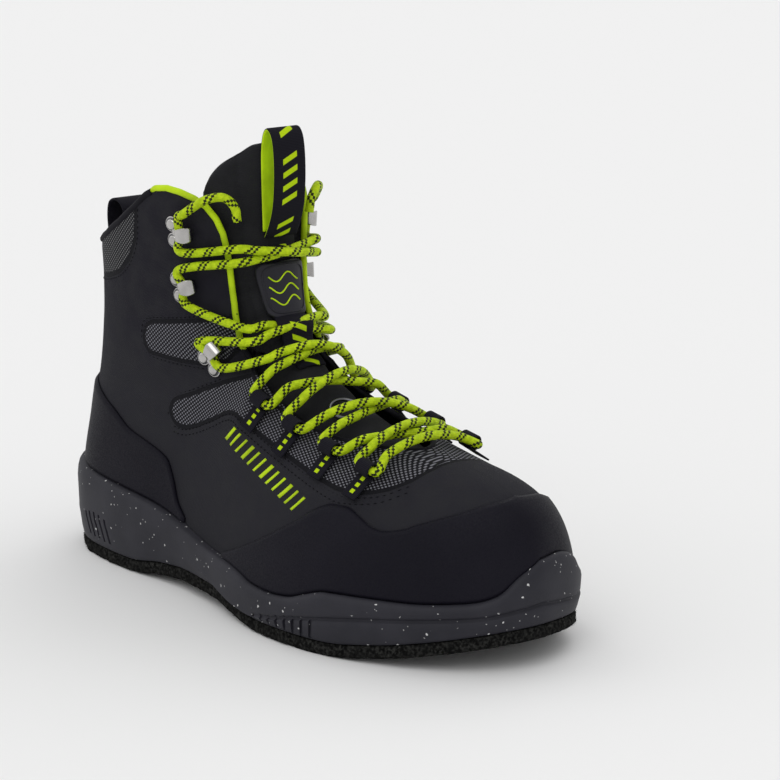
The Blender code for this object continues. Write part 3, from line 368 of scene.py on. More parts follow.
def x_to_along(x):
    return (x + HEEL_SEAT) / LENGTH


SOLE_LOOP = closed_curve(SOLE_PLAN) * [LENGTH, BALL_WIDTH] - [HEEL_SEAT, 0]


def plan_sides(inset):
    """The sole's outline moved inwards, as two lines from heel to toe: {side: (x, y)}."""
    ahead = np.roll(SOLE_LOOP, -1, axis=0) - np.roll(SOLE_LOOP, 1, axis=0)
    outward = np.stack([-ahead[:, 1], ahead[:, 0]], 1)
    outward /= np.linalg.norm(outward, axis=1)[:, None]
    if ((SOLE_LOOP - SOLE_LOOP.mean(axis=0)) * outward).sum() < 0:
        outward = -outward
    loop = SOLE_LOOP - outward * inset
    heel, toe = loop[:, 0].argmin(), loop[:, 0].argmax()
    first = np.roll(loop, -heel, axis=0)
    split = (toe - heel) % len(loop)
    lateral = first[: split + 1]
    medial = np.vstack([first[split:], first[:1]])[::-1]
    return {LATERAL: lateral.T, MEDIAL: medial.T}


FEATHER = plan_sides(RIM_WALL - RIM_FLARE)
OUTLINE = plan_sides(0.0)
RIDGE_SHARES = np.linspace(FRONT_RIDGE[0][0], 2.0, 600)
RIDGE_Z = np.clip(RIDGE_SHARES, 0, 1) * TOE_BOX_HEIGHT
RIDGE_Z += np.clip(RIDGE_SHARES - 1, 0, 1) * (UPPER_HEIGHT - TOE_BOX_HEIGHT)
RIDGE_X = follow(FRONT_RIDGE, RIDGE_SHARES, 1) * LENGTH - HEEL_SEAT


def front_x(z):
    return np.interp(z, RIDGE_Z, RIDGE_X)


def ridge_z(x):
    return np.interp(-np.asarray(x), -RIDGE_X, RIDGE_Z)


def shaft_size(z, column, scale, offset=0.0):
    return follow(SHAFT, np.asarray(z) / UPPER_HEIGHT, column) * scale - offset


def back_x(z):
    return shaft_size(z, 1, LENGTH, HEEL_SEAT)


def centre_y(x):
    return follow(FOOT, x_to_along(x), 3) * BALL_WIDTH


def half_width(side, x, z):
    """How far the form reaches from its centre line, on one side, at x and height z."""
    along = x_to_along(x)
    reach = np.interp(x, *FEATHER[side]) - centre_y(x)
    foot = np.abs(reach) * follow(FOOT, along, 2)
    top = np.minimum(ridge_z(x), INSTEP_TOP * UPPER_HEIGHT)
    rise = np.clip((z - RIDGE_Z[0]) / np.maximum(top - RIDGE_Z[0], 1e-6), 0, 1)
    foot = foot * np.sqrt(np.maximum(1 - rise ** follow(FOOT, along, 1), 0))
    widest = shaft_size(z, 2, LENGTH, HEEL_SEAT)
    end = np.where(x < widest, back_x(z), np.minimum(front_x(z), shaft_size(z, 3, LENGTH, HEEL_SEAT)))
    share = np.clip(np.abs((x - widest) / (end - widest)), 0, 1)
    heel = HEEL_TO_BALL * BALL_WIDTH
    girth = heel + (SHAFT_WIDTH - heel) * shaft_size(z, 6, 1.0)
    width = shaft_size(z, 4 if side == LATERAL else 5, girth)
    shaft = width * np.maximum(1 - share**SHAFT_ROUNDNESS, 0) ** (1 / SHAFT_ROUNDNESS)
    return (foot**BLEND + shaft**BLEND) ** (1 / BLEND)


def unit(vectors):
    return vectors / np.maximum(np.linalg.norm(vectors, axis=-1, keepdims=True), 1e-12)


def form_points(side, turn, z, out=0.0):
    """Points of the form: turn is 0 at the front and pi at the back. out moves them off the surface."""
    turn, z = np.broadcast_arrays(np.asarray(turn, float), np.asarray(z, float))
    back, front = back_x(z), front_x(z)
    x = back + (front - back) * (1 + np.cos(turn)) / 2
    y = centre_y(x) + side * half_width(side, x, z)
    points = np.stack([x, y, z], -1)
    if np.any(out):
        points = points + form_normals(side, turn, z) * np.asarray(out)[..., None]
    return points


def form_normals(side, turn, z):
    """Unit normals of the form, outwards."""
    small, step = 0.02, 0.001
    around = form_points(side, np.minimum(turn + small, math.pi - 1e-4), z)
    around = around - form_points(side, np.maximum(turn - small, 1e-4), z)
    rise = form_points(side, turn, z + step) - form_points(side, turn, z - step)
    return unit(np.cross(around, rise) * side)


def turn_at(x, z):
    back, front = back_x(z), front_x(z)
    return np.arccos(np.clip(2 * (x - back) / (front - back) - 1, -1, 1))


def instep_points(height, across, out=0.0):
    """Points over the instep or the shin, across from the ridge at a height: lateral is negative."""
    height, across = np.broadcast_arrays(np.asarray(height, float), np.asarray(across, float))
    step = 0.0015
    ahead = front_x(height + step) - front_x(height - step)
    size = np.hypot(2 * step, ahead)
    normal_x, normal_z = 2 * step / size, -ahead / size
    near, far = np.zeros(height.shape), np.full(height.shape, SHAFT_WIDTH / 2)
    for _ in range(26):
        middle = (near + far) / 2
        x, z = front_x(height) - normal_x * middle, height - normal_z * middle
        width = np.where(across < 0, half_width(LATERAL, x, z), half_width(MEDIAL, x, z))
        inside = width < np.abs(across)
        near, far = np.where(inside, middle, near), np.where(inside, far, middle)
    points = np.stack([x, centre_y(x) + across, z], -1)
    if np.any(out):
        small = 0.001
        down = instep_points(height - small, across) - instep_points(height + small, across)
        wide = instep_points(height, across + small) - instep_points(height, across - small)
        points = points + unit(np.cross(down, wide)) * np.asarray(out)[..., None]
    return points


def over_instep(height, across, lift):
    return instep_points(height * UPPER_HEIGHT, across * SHAFT_WIDTH, lift)


def sole_z(x):
    along = x_to_along(x)
    return follow(SOLE_LINE, along, 1) * ARCH_RISE + follow(SOLE_LINE, along, 2) * TOE_SPRING


def deck_z(x):
    return sole_z(x) + FELT + HEEL_DECK + (BALL_DECK - HEEL_DECK) * eased((x_to_along(x) - 0.25) / 0.37)


def rim_z(side, share):
    return follow(RIM, share, 1 if side == LATERAL else 2) * RIM_HEIGHT


def outline_points(side, share, offset=0.0):
    """Points of the sole's outline at shares from toe to heel, moved outwards."""
    x, y = OUTLINE[side]

    def place(at_share):
        at = x[0] + (x[-1] - x[0]) * (1 + np.cos(math.pi * at_share)) / 2
        return np.stack([at, np.interp(at, x, y), np.zeros(np.shape(at))], -1)

    small = 0.004
    ahead = place(np.maximum(share - small, 0)) - place(np.minimum(share + small, 1))
    out = unit(np.stack([-ahead[..., 1], ahead[..., 0], np.zeros(np.shape(share))], -1)) * side
    return place(share) + out * np.asarray(offset)[..., None]


def top_edge(share):
    """The turn and the height of the throat's and the collar's edge at shares of its length."""
    rows = [(around * GIRTH_SHARE * LENGTH, height * UPPER_HEIGHT) for around, height in TOP_EDGE]
    line = even_line(rows, share)
    return math.pi * line[..., 0] / (GIRTH_SHARE * LENGTH), line[..., 1]


def upper_points(side, share, rise, out=0.0):
    """Points of the upper: share runs from toe to heel, rise from the cup's floor to the top edge."""
    turn_top, z_top = top_edge(share)
    turn_foot = math.pi * share
    floor = deck_z(form_points(side, turn_foot, FELT + HEEL_DECK)[..., 0])
    z_foot = deck_z(form_points(side, turn_foot, floor)[..., 0]) + 2 * GAP
    turn = turn_top + (turn_foot - turn_top) * (1 - rise) ** EDGE_FAN
    return form_points(side, turn, z_foot + (z_top - z_foot) * rise, out)


def both_sides(count, make):
    """Columns of a closed band: the lateral side from toe to heel, then the medial side back."""
    shares = np.arange(count + 1) / count
    lateral = make(LATERAL, shares)
    medial = make(MEDIAL, shares[1:-1][::-1])
    return np.concatenate([lateral, medial], axis=-2 if lateral.shape[-1] == 3 else -1)


# Making meshes


def linked(name, data):
    made = bpy.data.objects.new(name, data)
    bpy.context.scene.collection.objects.link(made)
    return made


def add_object(name, mesh, materials):
    made = linked(name, mesh)
    for material in materials:
        mesh.materials.append(material)
    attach(made, "root")
    return made


def dress(piece, slot, *nodes):
    """Hides the imported solids that a piece stands for. slot is not used."""
    if nodes:
        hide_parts(*nodes)
    return piece


def raw_mesh(name, points, faces, face_uv=None, indices=None, smooth=True):
    mesh = bpy.data.meshes.new(name)
    mesh.from_pydata(np.asarray(points, float).reshape(-1, 3).tolist(), [], faces)
    if face_uv is not None:
        layer = mesh.uv_layers.new(name="UVMap")
        layer.data.foreach_set("uv", np.asarray(face_uv, float).ravel())
    if indices is not None:
        mesh.polygons.foreach_set("material_index", indices)
    mesh.update()
    if smooth:
        mesh.shade_smooth()
    return mesh


def band(grid, uv, closed, offset=0, flip=False):
    """Quads and their UVs over a grid of points. uv has one more column than a closed grid."""
    rows, columns = grid.shape[:2]
    faces = []
    corners = []
    for i in range(rows - 1):
        for j in range(columns if closed else columns - 1):
            k = (j + 1) % columns
            face = [(i, j, j), (i, k, j + 1), (i + 1, k, j + 1), (i + 1, j, j)]
            if flip:
                face = face[::-1]
            faces.append([offset + a * columns + b for a, b, _ in face])
            corners += [uv[a][c] for a, _, c in face]
    return faces, corners


def quads(rows, columns, offset=0, around=True, closed=False):
    """Faces over a grid of points, which may close on itself across its columns and its rows."""
    faces = []
    for i in range(rows if closed else rows - 1):
        for j in range(columns if around else columns - 1):
            k, m = (j + 1) % columns, (i + 1) % rows
            faces.append([offset + a * columns + b for a, b in ((i, j), (i, k), (m, k), (m, j))])
    return faces


def lengths_uv(grid, closed):
    """UVs in metres: u along the middle row, v along each column."""
    loop = np.concatenate([grid, grid[:, :1]], axis=1) if closed else grid
    u = reach_along(loop[len(grid) // 2])
    v = np.zeros(loop.shape[:2])
    v[1:] = np.cumsum(np.linalg.norm(np.diff(loop, axis=0), axis=2), axis=0)
    return np.stack([np.broadcast_to(u, v.shape), v], -1)


def shell(name, outer, inner, closed, materials, values=None, uv=None, flip=False):
    """A closed wall between two grids of points. values holds float attributes of the points."""
    rows, columns = outer.shape[:2]
    size = rows * columns
    uv = lengths_uv(outer, closed) if uv is None else uv
    faces, corners = band(outer, uv, closed, 0, flip)
    back, back_corners = band(inner, uv, closed, size, not flip)
    indices = [0] * len(faces) + [min(1, len(materials) - 1)] * len(back)
    faces += back
    corners += back_corners
    last = columns if closed else columns - 1
    edges = [((0, j), (0, (j + 1) % columns)) for j in range(last)]
    edges += [((rows - 1, (j + 1) % columns), (rows - 1, j)) for j in range(last)]
    if not closed:
        edges += [((i + 1, 0), (i, 0)) for i in range(rows - 1)]
        edges += [((i, columns - 1), (i + 1, columns - 1)) for i in range(rows - 1)]
    for (a, b), (c, d) in edges:
        one, two = a * columns + b, c * columns + d
        face = [two, one, size + one, size + two]
        faces.append(face[::-1] if flip else face)
        corners += [uv[a][b]] * 4
        indices.append(0)
    points = np.concatenate([outer.reshape(-1, 3), inner.reshape(-1, 3)])
    mesh = raw_mesh(name, points, faces, corners, indices)
    for key, value in (values or {}).items():
        layer = mesh.attributes.new(key, "FLOAT", "POINT")
        layer.data.foreach_set("value", np.tile(np.asarray(value, float).ravel(), 2))
    return add_object(name, mesh, materials)


def ring_solid(name, levels, materials):
    """A solid through closed level loops, closed by strips across the first and the last loop."""
    grid = np.array(levels)
    rows, columns = grid.shape[:2]
    uv = lengths_uv(grid, True)
    faces, corners = band(grid, uv, True)
    half = columns // 2
    for row in (0, rows - 1):
        for j in range(half):
            cells = list(dict.fromkeys([j, j + 1, (columns - j - 1) % columns, (columns - j) % columns]))
            face = [row * columns + c for c in cells]
            faces.append(face if row else face[::-1])
            corners += [grid[row][c][:2] for c in (cells if row else cells[::-1])]
    mesh = raw_mesh(name, grid, faces, corners)
    mesh.set_sharp_from_angle(angle=math.radians(50))
    return add_object(name, mesh, materials)


def frames_along(points):
    """Unit tangents and two steady cross directions along a line."""
    tangent = unit(np.gradient(points, axis=0))
    first = np.cross(tangent[0], UP if abs(tangent[0][2]) < 0.9 else AHEAD)
    normals = [first / np.linalg.norm(first)]
    for t in tangent[1:]:
        n = normals[-1] - t * (normals[-1] @ t)
        normals.append(n / np.linalg.norm(n))
    normals = np.array(normals)
    return tangent, normals, np.cross(tangent, normals)


def swept(name, grid, uv, materials, indices=None):
    """A solid through closed cross-sections, with flat ends."""
    rows, columns = grid.shape[:2]
    faces, corners = band(grid, uv, True)
    for row in (0, rows - 1):
        face = [row * columns + j for j in range(columns)]
        faces.append(face if row else face[::-1])
        corners += [uv[row][j] for j in range(columns)]
    return add_object(name, raw_mesh(name, grid, faces, corners, indices), materials)


def tube(name, points, radius, materials, sides=12, taper=0.0):
    """A round cord along points, with u around and v along it in metres. Its ends taper over a length."""
    points = np.asarray(points, float)
    _, normal, other = frames_along(points)
    turns = np.linspace(0, 2 * math.pi, sides, endpoint=False)
    reach = reach_along(points)
    size = np.full(len(points), radius)
    if taper:
        ends = np.minimum(reach, reach[-1] - reach) / taper
        size = size * np.maximum(rolled(ends), BLUNT_END)
    circle = normal[:, None] * np.cos(turns)[:, None] + other[:, None] * np.sin(turns)[:, None]
    grid = points[:, None] + circle * size[:, None, None]
    uv = np.stack(np.broadcast_arrays(np.linspace(0, 1, sides + 1)[None], reach[:, None]), -1)
    return swept(name, grid, uv, materials)


def web_section(pieces):
    """A strip's cross-section with rounded edges: across and thickness, as shares of their halves."""
    flat = np.linspace(-0.8, 0.8, pieces)
    right = [(0.93, 1), (0.985, 0.7), (1, 0), (0.985, -0.7), (0.93, -1)]
    left = [(-0.93, -1), (-0.985, -0.7)]
    start = [(-1, 0), (-0.985, 0.7), (-0.93, 1)]
    return np.array(start + [(s, 1) for s in flat] + right + [(s, -1) for s in flat[::-1]] + left, float)


def web_strip(name, path, width, thickness, frame_axes, materials, pieces=6):
    """A webbing strip along a flat path, with u across it and v along it in metres."""
    origin, ahead, across, out = frame_axes
    path = np.asarray(path, float)
    along = unit(np.gradient(path, axis=0))
    normal = np.stack([-along[:, 1], along[:, 0]], 1)
    section = web_section(pieces)
    flat = path[:, None] + normal[:, None] * (section[None, :, 1:] * thickness / 2)
    wide = np.broadcast_to(width, len(path))[:, None, None] / 2
    grid = origin + flat[..., :1] * ahead + flat[..., 1:] * out + section[:, :1] * wide * across
    u = np.append(section[:, 0], -1) * np.max(wide)
    uv = np.stack(np.broadcast_arrays(u[None], reach_along(path)[:, None]), -1)
    back = min(1, len(materials) - 1)
    face_up = section[:, 1] + np.roll(section[:, 1], -1) >= 0
    indices = np.where(face_up, 0, back).tolist() * (len(path) - 1) + [0, 0]
    return swept(name, grid, uv, materials, indices)


def specks(name, places, along, across, out, size, materials):
    """Many small eight-sided beads, such as stitches: sizes are along, across and out."""
    points, faces = [], []
    corners = ((0, 2, 5), (2, 1, 5), (1, 3, 5), (3, 0, 5), (2, 0, 4), (1, 2, 4), (3, 1, 4), (0, 3, 4))
    for place, *axes in zip(places, along, across, out):
        faces += [[len(points) + c for c in face] for face in corners]
        for axis, reach in zip(axes, size):
            points += [place - axis * reach, place + axis * reach]
    return add_object(name, raw_mesh(name, points, faces), materials)


# Materials


class Look:
    """A material and short calls that add nodes to it. A colour is three numbers."""

    def __init__(self, name, colour, roughness, metallic=0.0, specular=0.2):
        self.material = bpy.data.materials.new(name)
        self.material.use_nodes = True
        self.tree = self.material.node_tree
        self.shader = self.tree.nodes["Principled BSDF"]
        self.set("Base Color", colour)
        self.set("Roughness", roughness)
        self.set("Metallic", metallic)
        self.set("Specular IOR Level", specular)

    def set(self, socket, value):
        self.give(self.shader.inputs[socket], value)

    def give(self, socket, value):
        if isinstance(value, bpy.types.NodeSocket):
            self.tree.links.new(value, socket)
        else:
            socket.default_value = (*value, 1) if socket.type == "RGBA" else value

    def node(self, kind, inputs=(), output=0, **settings):
        made = self.tree.nodes.new("ShaderNode" + kind)
        for key, value in settings.items():
            setattr(made, key, value)
        for key, value in dict(inputs).items():
            self.give(made.inputs[key], value)
        return made.outputs[output]

    def math(self, operation, *values):
        return self.node("Math", dict(enumerate(values)), operation=operation)

    def times(self, *values):
        return self.math("MULTIPLY", *values)

    def plus_times(self, value, factor, rest):
        return self.math("MULTIPLY_ADD", value, factor, rest)

    def part_of(self, value, pitch):
        """How far a value is into its present step of a pattern, from 0 to 1."""
        return self.math("FRACT", self.math("DIVIDE", value, pitch))

    def blend(self, share, one, two):
        return self.node("Mix", {0: share, 6: one, 7: two}, 2, data_type="RGBA")

    def place(self):
        return self.node("TexCoord", output=3)

    def split(self, vector):
        made = self.tree.nodes.new("ShaderNodeSeparateXYZ")
        self.give(made.inputs[0], vector)
        return made.outputs

    def uv(self):
        return self.split(self.node("TexCoord", output=2))[:2]

    def noise(self, scale, detail=2.0, output=0):
        return self.node("TexNoise", {"Vector": self.place(), "Scale": scale, "Detail": detail}, output)

    def ramp(self, value, low, high, start=0.0, end=1.0):
        inputs = {0: value, 1: low, 2: high, 3: start, 4: end}
        return self.node("MapRange", inputs, interpolation_type="SMOOTHSTEP")

    def mottled(self, scale, detail, low, high, one, two, most=1.0):
        """Two colours mixed in clouds."""
        return self.blend(self.ramp(self.noise(scale, detail), low, high, 0.0, most), one, two)

    def attribute(self, name):
        return self.node("Attribute", output=2, attribute_name=name)

    def wave(self, value, pitch):
        return self.math("SINE", self.times(value, 2 * math.pi / pitch))

    def bump(self, height, distance, strength, under=None):
        inputs = {"Height": height, "Distance": distance, "Strength": strength}
        if under is not None:
            inputs["Normal"] = under
        return self.node("Bump", inputs)

    def within(self, value, low, high, soft):
        """1 where the value lies between low and high."""
        rise = self.ramp(value, low - soft, low + soft)
        return self.times(rise, self.ramp(value, high - soft, high + soft, 1.0, 0.0))

    def finish(self, colour, height, distance, strength, under=None):
        self.set("Base Color", colour)
        self.set("Normal", self.bump(height, distance, strength, under))
        return self.material


LIME = (0.46, 0.64, 0.004)
BLACK = (0.004, 0.004, 0.006)


def twill(look, u, v, pitch):
    """The height of a diagonal weave."""
    cross = look.wave(look.math("SUBTRACT", u, v), pitch * 0.5)
    return look.plus_times(cross, 0.3, look.wave(look.math("ADD", u, v), pitch))


def mesh_dots(look, u, v, pitch):
    """1 on the threads of a dotted mesh, 0 in its holes."""
    return look.ramp(look.times(look.wave(v, pitch * 1.6), look.wave(u, pitch * 1.9)), 0.05, 0.55)


def wall_axes(look):
    """Coordinates along, around and up the boot's side, in metres."""
    x, y, z = look.split(look.place())
    across = look.math("SQRT", look.plus_times(y, y, 0.0002))
    return x, look.math("SUBTRACT", x, across), look.plus_times(across, -0.6, z)


def cloth_look():
    """Cloth with two kinds of mesh, where the upper's attributes say that a window is."""
    look = Look("upper_cloth_look", (0.018, 0.018, 0.022), 0.86, specular=0.16)
    weave = twill(look, *look.uv(), 0.00075)
    cloth = look.blend(
        look.ramp(look.attribute("lift"), 0.085, 0.135), (0.0155, 0.0150, 0.0200), (0.0092, 0.0084, 0.0140)
    )
    cloth = look.mottled(95.0, 4.0, 0.35, 0.70, cloth, (0.0185, 0.0185, 0.0215), 0.6)
    cloth = look.blend(look.ramp(weave, 0.2, 1.1, 0.0, 0.30), cloth, (0.034, 0.034, 0.040))
    along, around, rise = wall_axes(look)
    dots = mesh_dots(look, along, rise, 0.00125)
    fine = mesh_dots(look, around, rise, 0.00120)
    window, collar = look.attribute("window"), look.attribute("collar")
    in_window, in_collar = (look.ramp(inside, -0.00008, 0.00008) for inside in (window, collar))
    mesh = look.blend(dots, (0.0060, 0.0060, 0.0085), (0.190, 0.190, 0.215))
    collar_mesh = look.blend(fine, (0.0060, 0.0060, 0.0080), (0.150, 0.150, 0.155))
    colour = look.blend(in_window, look.blend(in_collar, cloth, collar_mesh), mesh)
    edges = look.within(window, -0.0021, 0.0, 0.0002), look.within(collar, -0.0024, 0.0, 0.0002)
    rim = look.math("MAXIMUM", *edges)
    grain = look.plus_times(look.times(dots, in_window), 2.0, weave)
    colour = look.blend(look.times(rim, 0.85), colour, BLACK)
    return look.finish(colour, grain, 0.00010, 0.55, look.bump(rim, 0.0005, 0.8))


def lining_look():
    look = Look("lining_look", (0.009, 0.009, 0.011), 0.92, specular=0.1)
    knit = mesh_dots(look, *look.uv(), 0.0016)
    return look.finish(look.blend(knit, (0.005, 0.005, 0.006), (0.020, 0.020, 0.024)), knit, 0.0002, 0.6)


def coated_look():
    look = Look("coated_look", (0.0032, 0.0026, 0.0072), 0.55, specular=0.14)
    grain = look.noise(1500.0, 3.0)
    look.set("Roughness", look.ramp(grain, 0.3, 0.7, 0.52, 0.70))
    colour = look.mottled(24.0, 3.0, 0.3, 0.75, (0.0026, 0.0021, 0.0062), (0.0046, 0.0040, 0.0088))
    return look.finish(colour, grain, 0.00008, 0.5)


def rubber_look():
    """Matt rubber with scattered pale flecks."""
    look = Look("midsole_look", (0.017, 0.017, 0.024), 0.62, specular=0.28)
    wobble = {0: look.noise(420.0, 2.0, 1), 1: (0.0022, 0.0022, 0.0022), 2: look.place()}
    bent = look.node("VectorMath", wobble, operation="MULTIPLY_ADD")
    colour = look.mottled(60.0, 4.0, 0.3, 0.7, (0.0140, 0.0138, 0.0200), (0.0200, 0.0196, 0.0270))
    for scale, rarity, size, pale in ((230.0, 0.62, 0.00050, 0.55), (360.0, 0.66, 0.00032, 0.34)):
        cells = look.tree.nodes.new("ShaderNodeTexVoronoi")
        look.give(cells.inputs["Vector"], bent)
        look.give(cells.inputs["Scale"], scale)
        chance = look.node("SeparateColor", {0: cells.outputs["Color"]})
        near = look.ramp(cells.outputs["Distance"], size * scale * 0.75, size * scale * 1.25, 1.0, 0.0)
        fleck = look.times(near, look.math("GREATER_THAN", chance, rarity))
        colour = look.blend(fleck, colour, (pale, pale, pale))
    return look.finish(colour, look.noise(900.0, 3.0), 0.00012, 0.45)


def felt_look():
    look = Look("felt_look", (0.008, 0.008, 0.008), 1.0, specular=0.05)
    fibres = look.noise(700.0, 6.0)
    colour = look.blend(look.ramp(fibres, 0.38, 0.72), (0.003, 0.003, 0.003), (0.034, 0.034, 0.032))
    colour = look.mottled(160.0, 4.0, 0.3, 0.8, colour, (0.008, 0.008, 0.008), 0.6)
    return look.finish(colour, look.math("ADD", fibres, look.noise(160.0, 4.0)), 0.0009, 0.9)


def lace_look():
    """Braided cord with pairs of dark stepped lines across it."""
    look = Look("lace_look", LIME, 0.62)
    u, v = look.uv()
    step = look.math("FLOOR", look.times(u, 10.0))
    group = look.part_of(look.plus_times(step, 0.00105, v), 0.0105)
    dark = look.math("ADD", *(look.within(group, low, low + 0.13, 0.015) for low in (0.06, 0.32)))
    base = look.mottled(500.0, 2.0, 0.3, 0.7, (0.37, 0.52, 0.003), (0.52, 0.69, 0.008))
    plait = look.times(*(look.wave(look.plus_times(u, turn, v), 0.0015) for turn in (0.0132, -0.0132)))
    return look.finish(look.blend(dark, base, (0.016, 0.020, 0.004)), plait, 0.00016, 0.7)


def dashes(look, u, v):
    """Slanted dashes in groups of four, across the middle of a strap."""
    lean = look.plus_times(u, 0.45, v)
    step, spare = look.part_of(lean, 0.0062), look.part_of(lean, 0.0310)
    mark = look.times(look.within(step, 0.18, 0.60, 0.03), look.within(u, -0.0040, 0.0040, 0.0002))
    return look.times(mark, look.math("LESS_THAN", spare, 0.80))


def squares(look, u, v):
    """Three small squares in a row, on the part of a lace loop that lies on the upper."""
    step = look.part_of(v, 0.0036)
    mark = look.times(look.within(step, 0.22, 0.78, 0.04), look.within(u, -0.00105, 0.00105, 0.0001))
    return look.times(mark, look.within(v, 0.0216, 0.0324, 0.0001))


def web_look(name, pattern=None):
    """Ribbed webbing. pattern gives where it is lime."""
    look = Look(name, (0.0060, 0.0055, 0.0100), 0.82, specular=0.15)
    u, v = look.uv()
    rib = look.wave(v, 0.0007)
    edge = look.ramp(look.math("ABSOLUTE", u), 0.0, 0.012)
    shade = look.ramp(rib, -0.6, 1.0, 0.0, 0.5)
    colour = look.blend(shade, (0.0045, 0.0040, 0.0080), (0.0125, 0.0120, 0.0180))
    if pattern:
        colour = look.blend(pattern(look, u, v), colour, LIME)
    return look.finish(colour, look.plus_times(edge, 0.2, rib), 0.00009, 0.6)


def tongue_look():
    look = Look("tongue_look", (0.012, 0.012, 0.014), 0.84, specular=0.16)
    weave = twill(look, *look.uv(), 0.0008)
    base = look.mottled(60.0, 3.0, 0.3, 0.7, (0.0105, 0.0105, 0.0125), (0.0165, 0.0165, 0.0190))
    colour = look.blend(look.ramp(weave, 0.2, 1.1, 0.0, 0.3), base, (0.028, 0.028, 0.032))
    return look.finish(colour, weave, 0.0001, 0.5)


def plain_look(name, colour, roughness, grain, depth, **extra):
    """An even material with a fine grain and a little mottling."""
    look = Look(name, colour, roughness, **extra)
    darker, lighter = (tuple(c * factor for c in colour) for factor in (0.8, 1.2))
    return look.finish(look.mottled(70.0, 3.0, 0.3, 0.7, darker, lighter), look.noise(grain), depth, 0.5)


CLOTH = cloth_look()
LINING = lining_look()
COATED = coated_look()
RUBBER = rubber_look()
FELT_LOOK = felt_look()
LACE_LOOK = lace_look()
WEB_PLAIN = web_look("web_plain_look")
WEB_DASHES = web_look("web_dashes_look", dashes)
WEB_SQUARES = web_look("web_squares_look", squares)
TONGUE_LOOK = tongue_look()
LIME_TAPE = plain_look("lime_tape_look", (0.44, 0.62, 0.005), 0.60, 900.0, 0.0002)
BINDING = plain_look("binding_look", (0.0060, 0.0056, 0.0090), 0.80, 1200.0, 0.0002, specular=0.15)
THREAD = plain_look("thread_look", (0.003, 0.003, 0.005), 0.70, 1500.0, 0.0001, specular=0.1)
NICKEL = plain_look("nickel_look", (0.44, 0.43, 0.42), 0.22, 300.0, 0.00002, metallic=1.0)
DARK_NICKEL = plain_look("dark_nickel_look", (0.12, 0.12, 0.13), 0.28, 300.0, 0.00002, metallic=1.0)
BADGE_LOOK = plain_look("badge_look", (0.0080, 0.0074, 0.0130), 0.42, 800.0, 0.0001, specular=0.3)
INSOLE_LOOK = plain_look("insole_look", (0.014, 0.014, 0.017), 0.90, 1400.0, 0.0004, specular=0.1)


# Camera and light


def add_camera():
    camera = linked("camera", bpy.data.cameras.new("camera"))
    camera.data.lens = LENS
    camera.data.sensor_width = SENSOR
    camera.data.clip_start = 0.05
    place = Vector(CAMERA_PLACE)
    look = (Vector(CAMERA_AIM) - place).to_track_quat("-Z", "Y").to_matrix().to_4x4()
    camera.matrix_world = Matrix.Translation(place) @ look @ Matrix.Rotation(CAMERA_ROLL, 4, "Z")
    bpy.context.scene.camera = camera


def add_light(name, place, strength, spread):
    """A soft far light from the direction of the place."""
    light = bpy.data.lights.new(name, "SUN")
    light.energy = strength
    light.angle = math.radians(spread)
    made = linked(name, light)
    made.location = place
    made.rotation_euler = (-Vector(place)).to_track_quat("-Z", "Y").to_euler()


def add_stage():
    """A pale floor, an even white world and three soft lights."""
    half = FLOOR_SIZE / 2
    mesh = bpy.data.meshes.new("floor")
    corners = [(x * half, y * half, FLOOR_DROP) for x, y in ((-1, -1), (1, -1), (1, 1), (-1, 1))]
    mesh.from_pydata(corners, [], [(0, 1, 2, 3)])
    mesh.materials.append(Look("floor_look", FLOOR_COLOUR, 0.9, specular=0.5).material)
    linked("floor", mesh)
    world = bpy.data.worlds.new("studio")
    bpy.context.scene.world = world
    world.use_nodes = True
    background = world.node_tree.nodes["Background"]
    background.inputs["Color"].default_value = (1, 1, 1, 1)
    background.inputs["Strength"].default_value = WORLD_STRENGTH
    for light in LIGHTS:
        add_light(*light)
    bpy.context.scene.view_settings.view_transform = "Standard"


add_camera()
add_stage()


# Lace stations

TONGUE_FACE = -(WALL + TONGUE_CLEARANCE)
STRAP_FACE = TONGUE_FACE + 3 * GAP
BADGE_FACE = STRAP_FACE + WEBBING + GAP
LACE_LIFT = 5 * GAP + LOOP_WEBBING + LACE_CLEARANCE + LACE / 2
LACE_PASS = 0.5 * HOOK_HEIGHT + GAP
LACE_TURN = LACE_PASS + LACE
LOOP_TURN = 0.78
HOOK_BEND = LACE / 2 + LACE_CLEARANCE + HOOK_SHEET / 2
UNDER_LIFT = STRAP_FACE + WEBBING + LACE / 2 + 4 * GAP
OVER_LIFT = UNDER_LIFT + LACE
EDGE_LIFT = LACE / 2 + 3 * LACE_CLEARANCE + HOOK_SHEET


def loop_frame(side, height, across):
    """A lace loop's middle, the ways down the slope, along the edge and outwards, and two lace turns."""
    z, w = height * UPPER_HEIGHT, side * across * SHAFT_WIDTH
    here = instep_points(z, w, LACE_LIFT)
    step = 0.001
    pace = instep_points(z + step, w, LACE_LIFT) - instep_points(z - step, w, LACE_LIFT)
    reach = LACE_TURN * 2 * step / np.linalg.norm(pace)
    upper_turn, lower_turn = instep_points(z + reach, w, LACE_LIFT), instep_points(z - reach, w, LACE_LIFT)
    edge = unit(upper_turn - lower_turn)
    down = instep_points(z, w + side * 2 * step, LACE_LIFT) - instep_points(z, w - side * 2 * step, LACE_LIFT)
    down = unit(down - edge * (edge @ down))
    out = np.cross(down, edge)
    out = -out if out[2] < 0 else out
    middle = (upper_turn + lower_turn) / 2
    middle = middle + out * max(0.0, (here - middle) @ out)
    turn = edge * LACE_TURN * LOOP_TURN
    return middle, down, edge, out, middle + turn - down * 0.25 * LACE, middle - turn - down * 0.25 * LACE


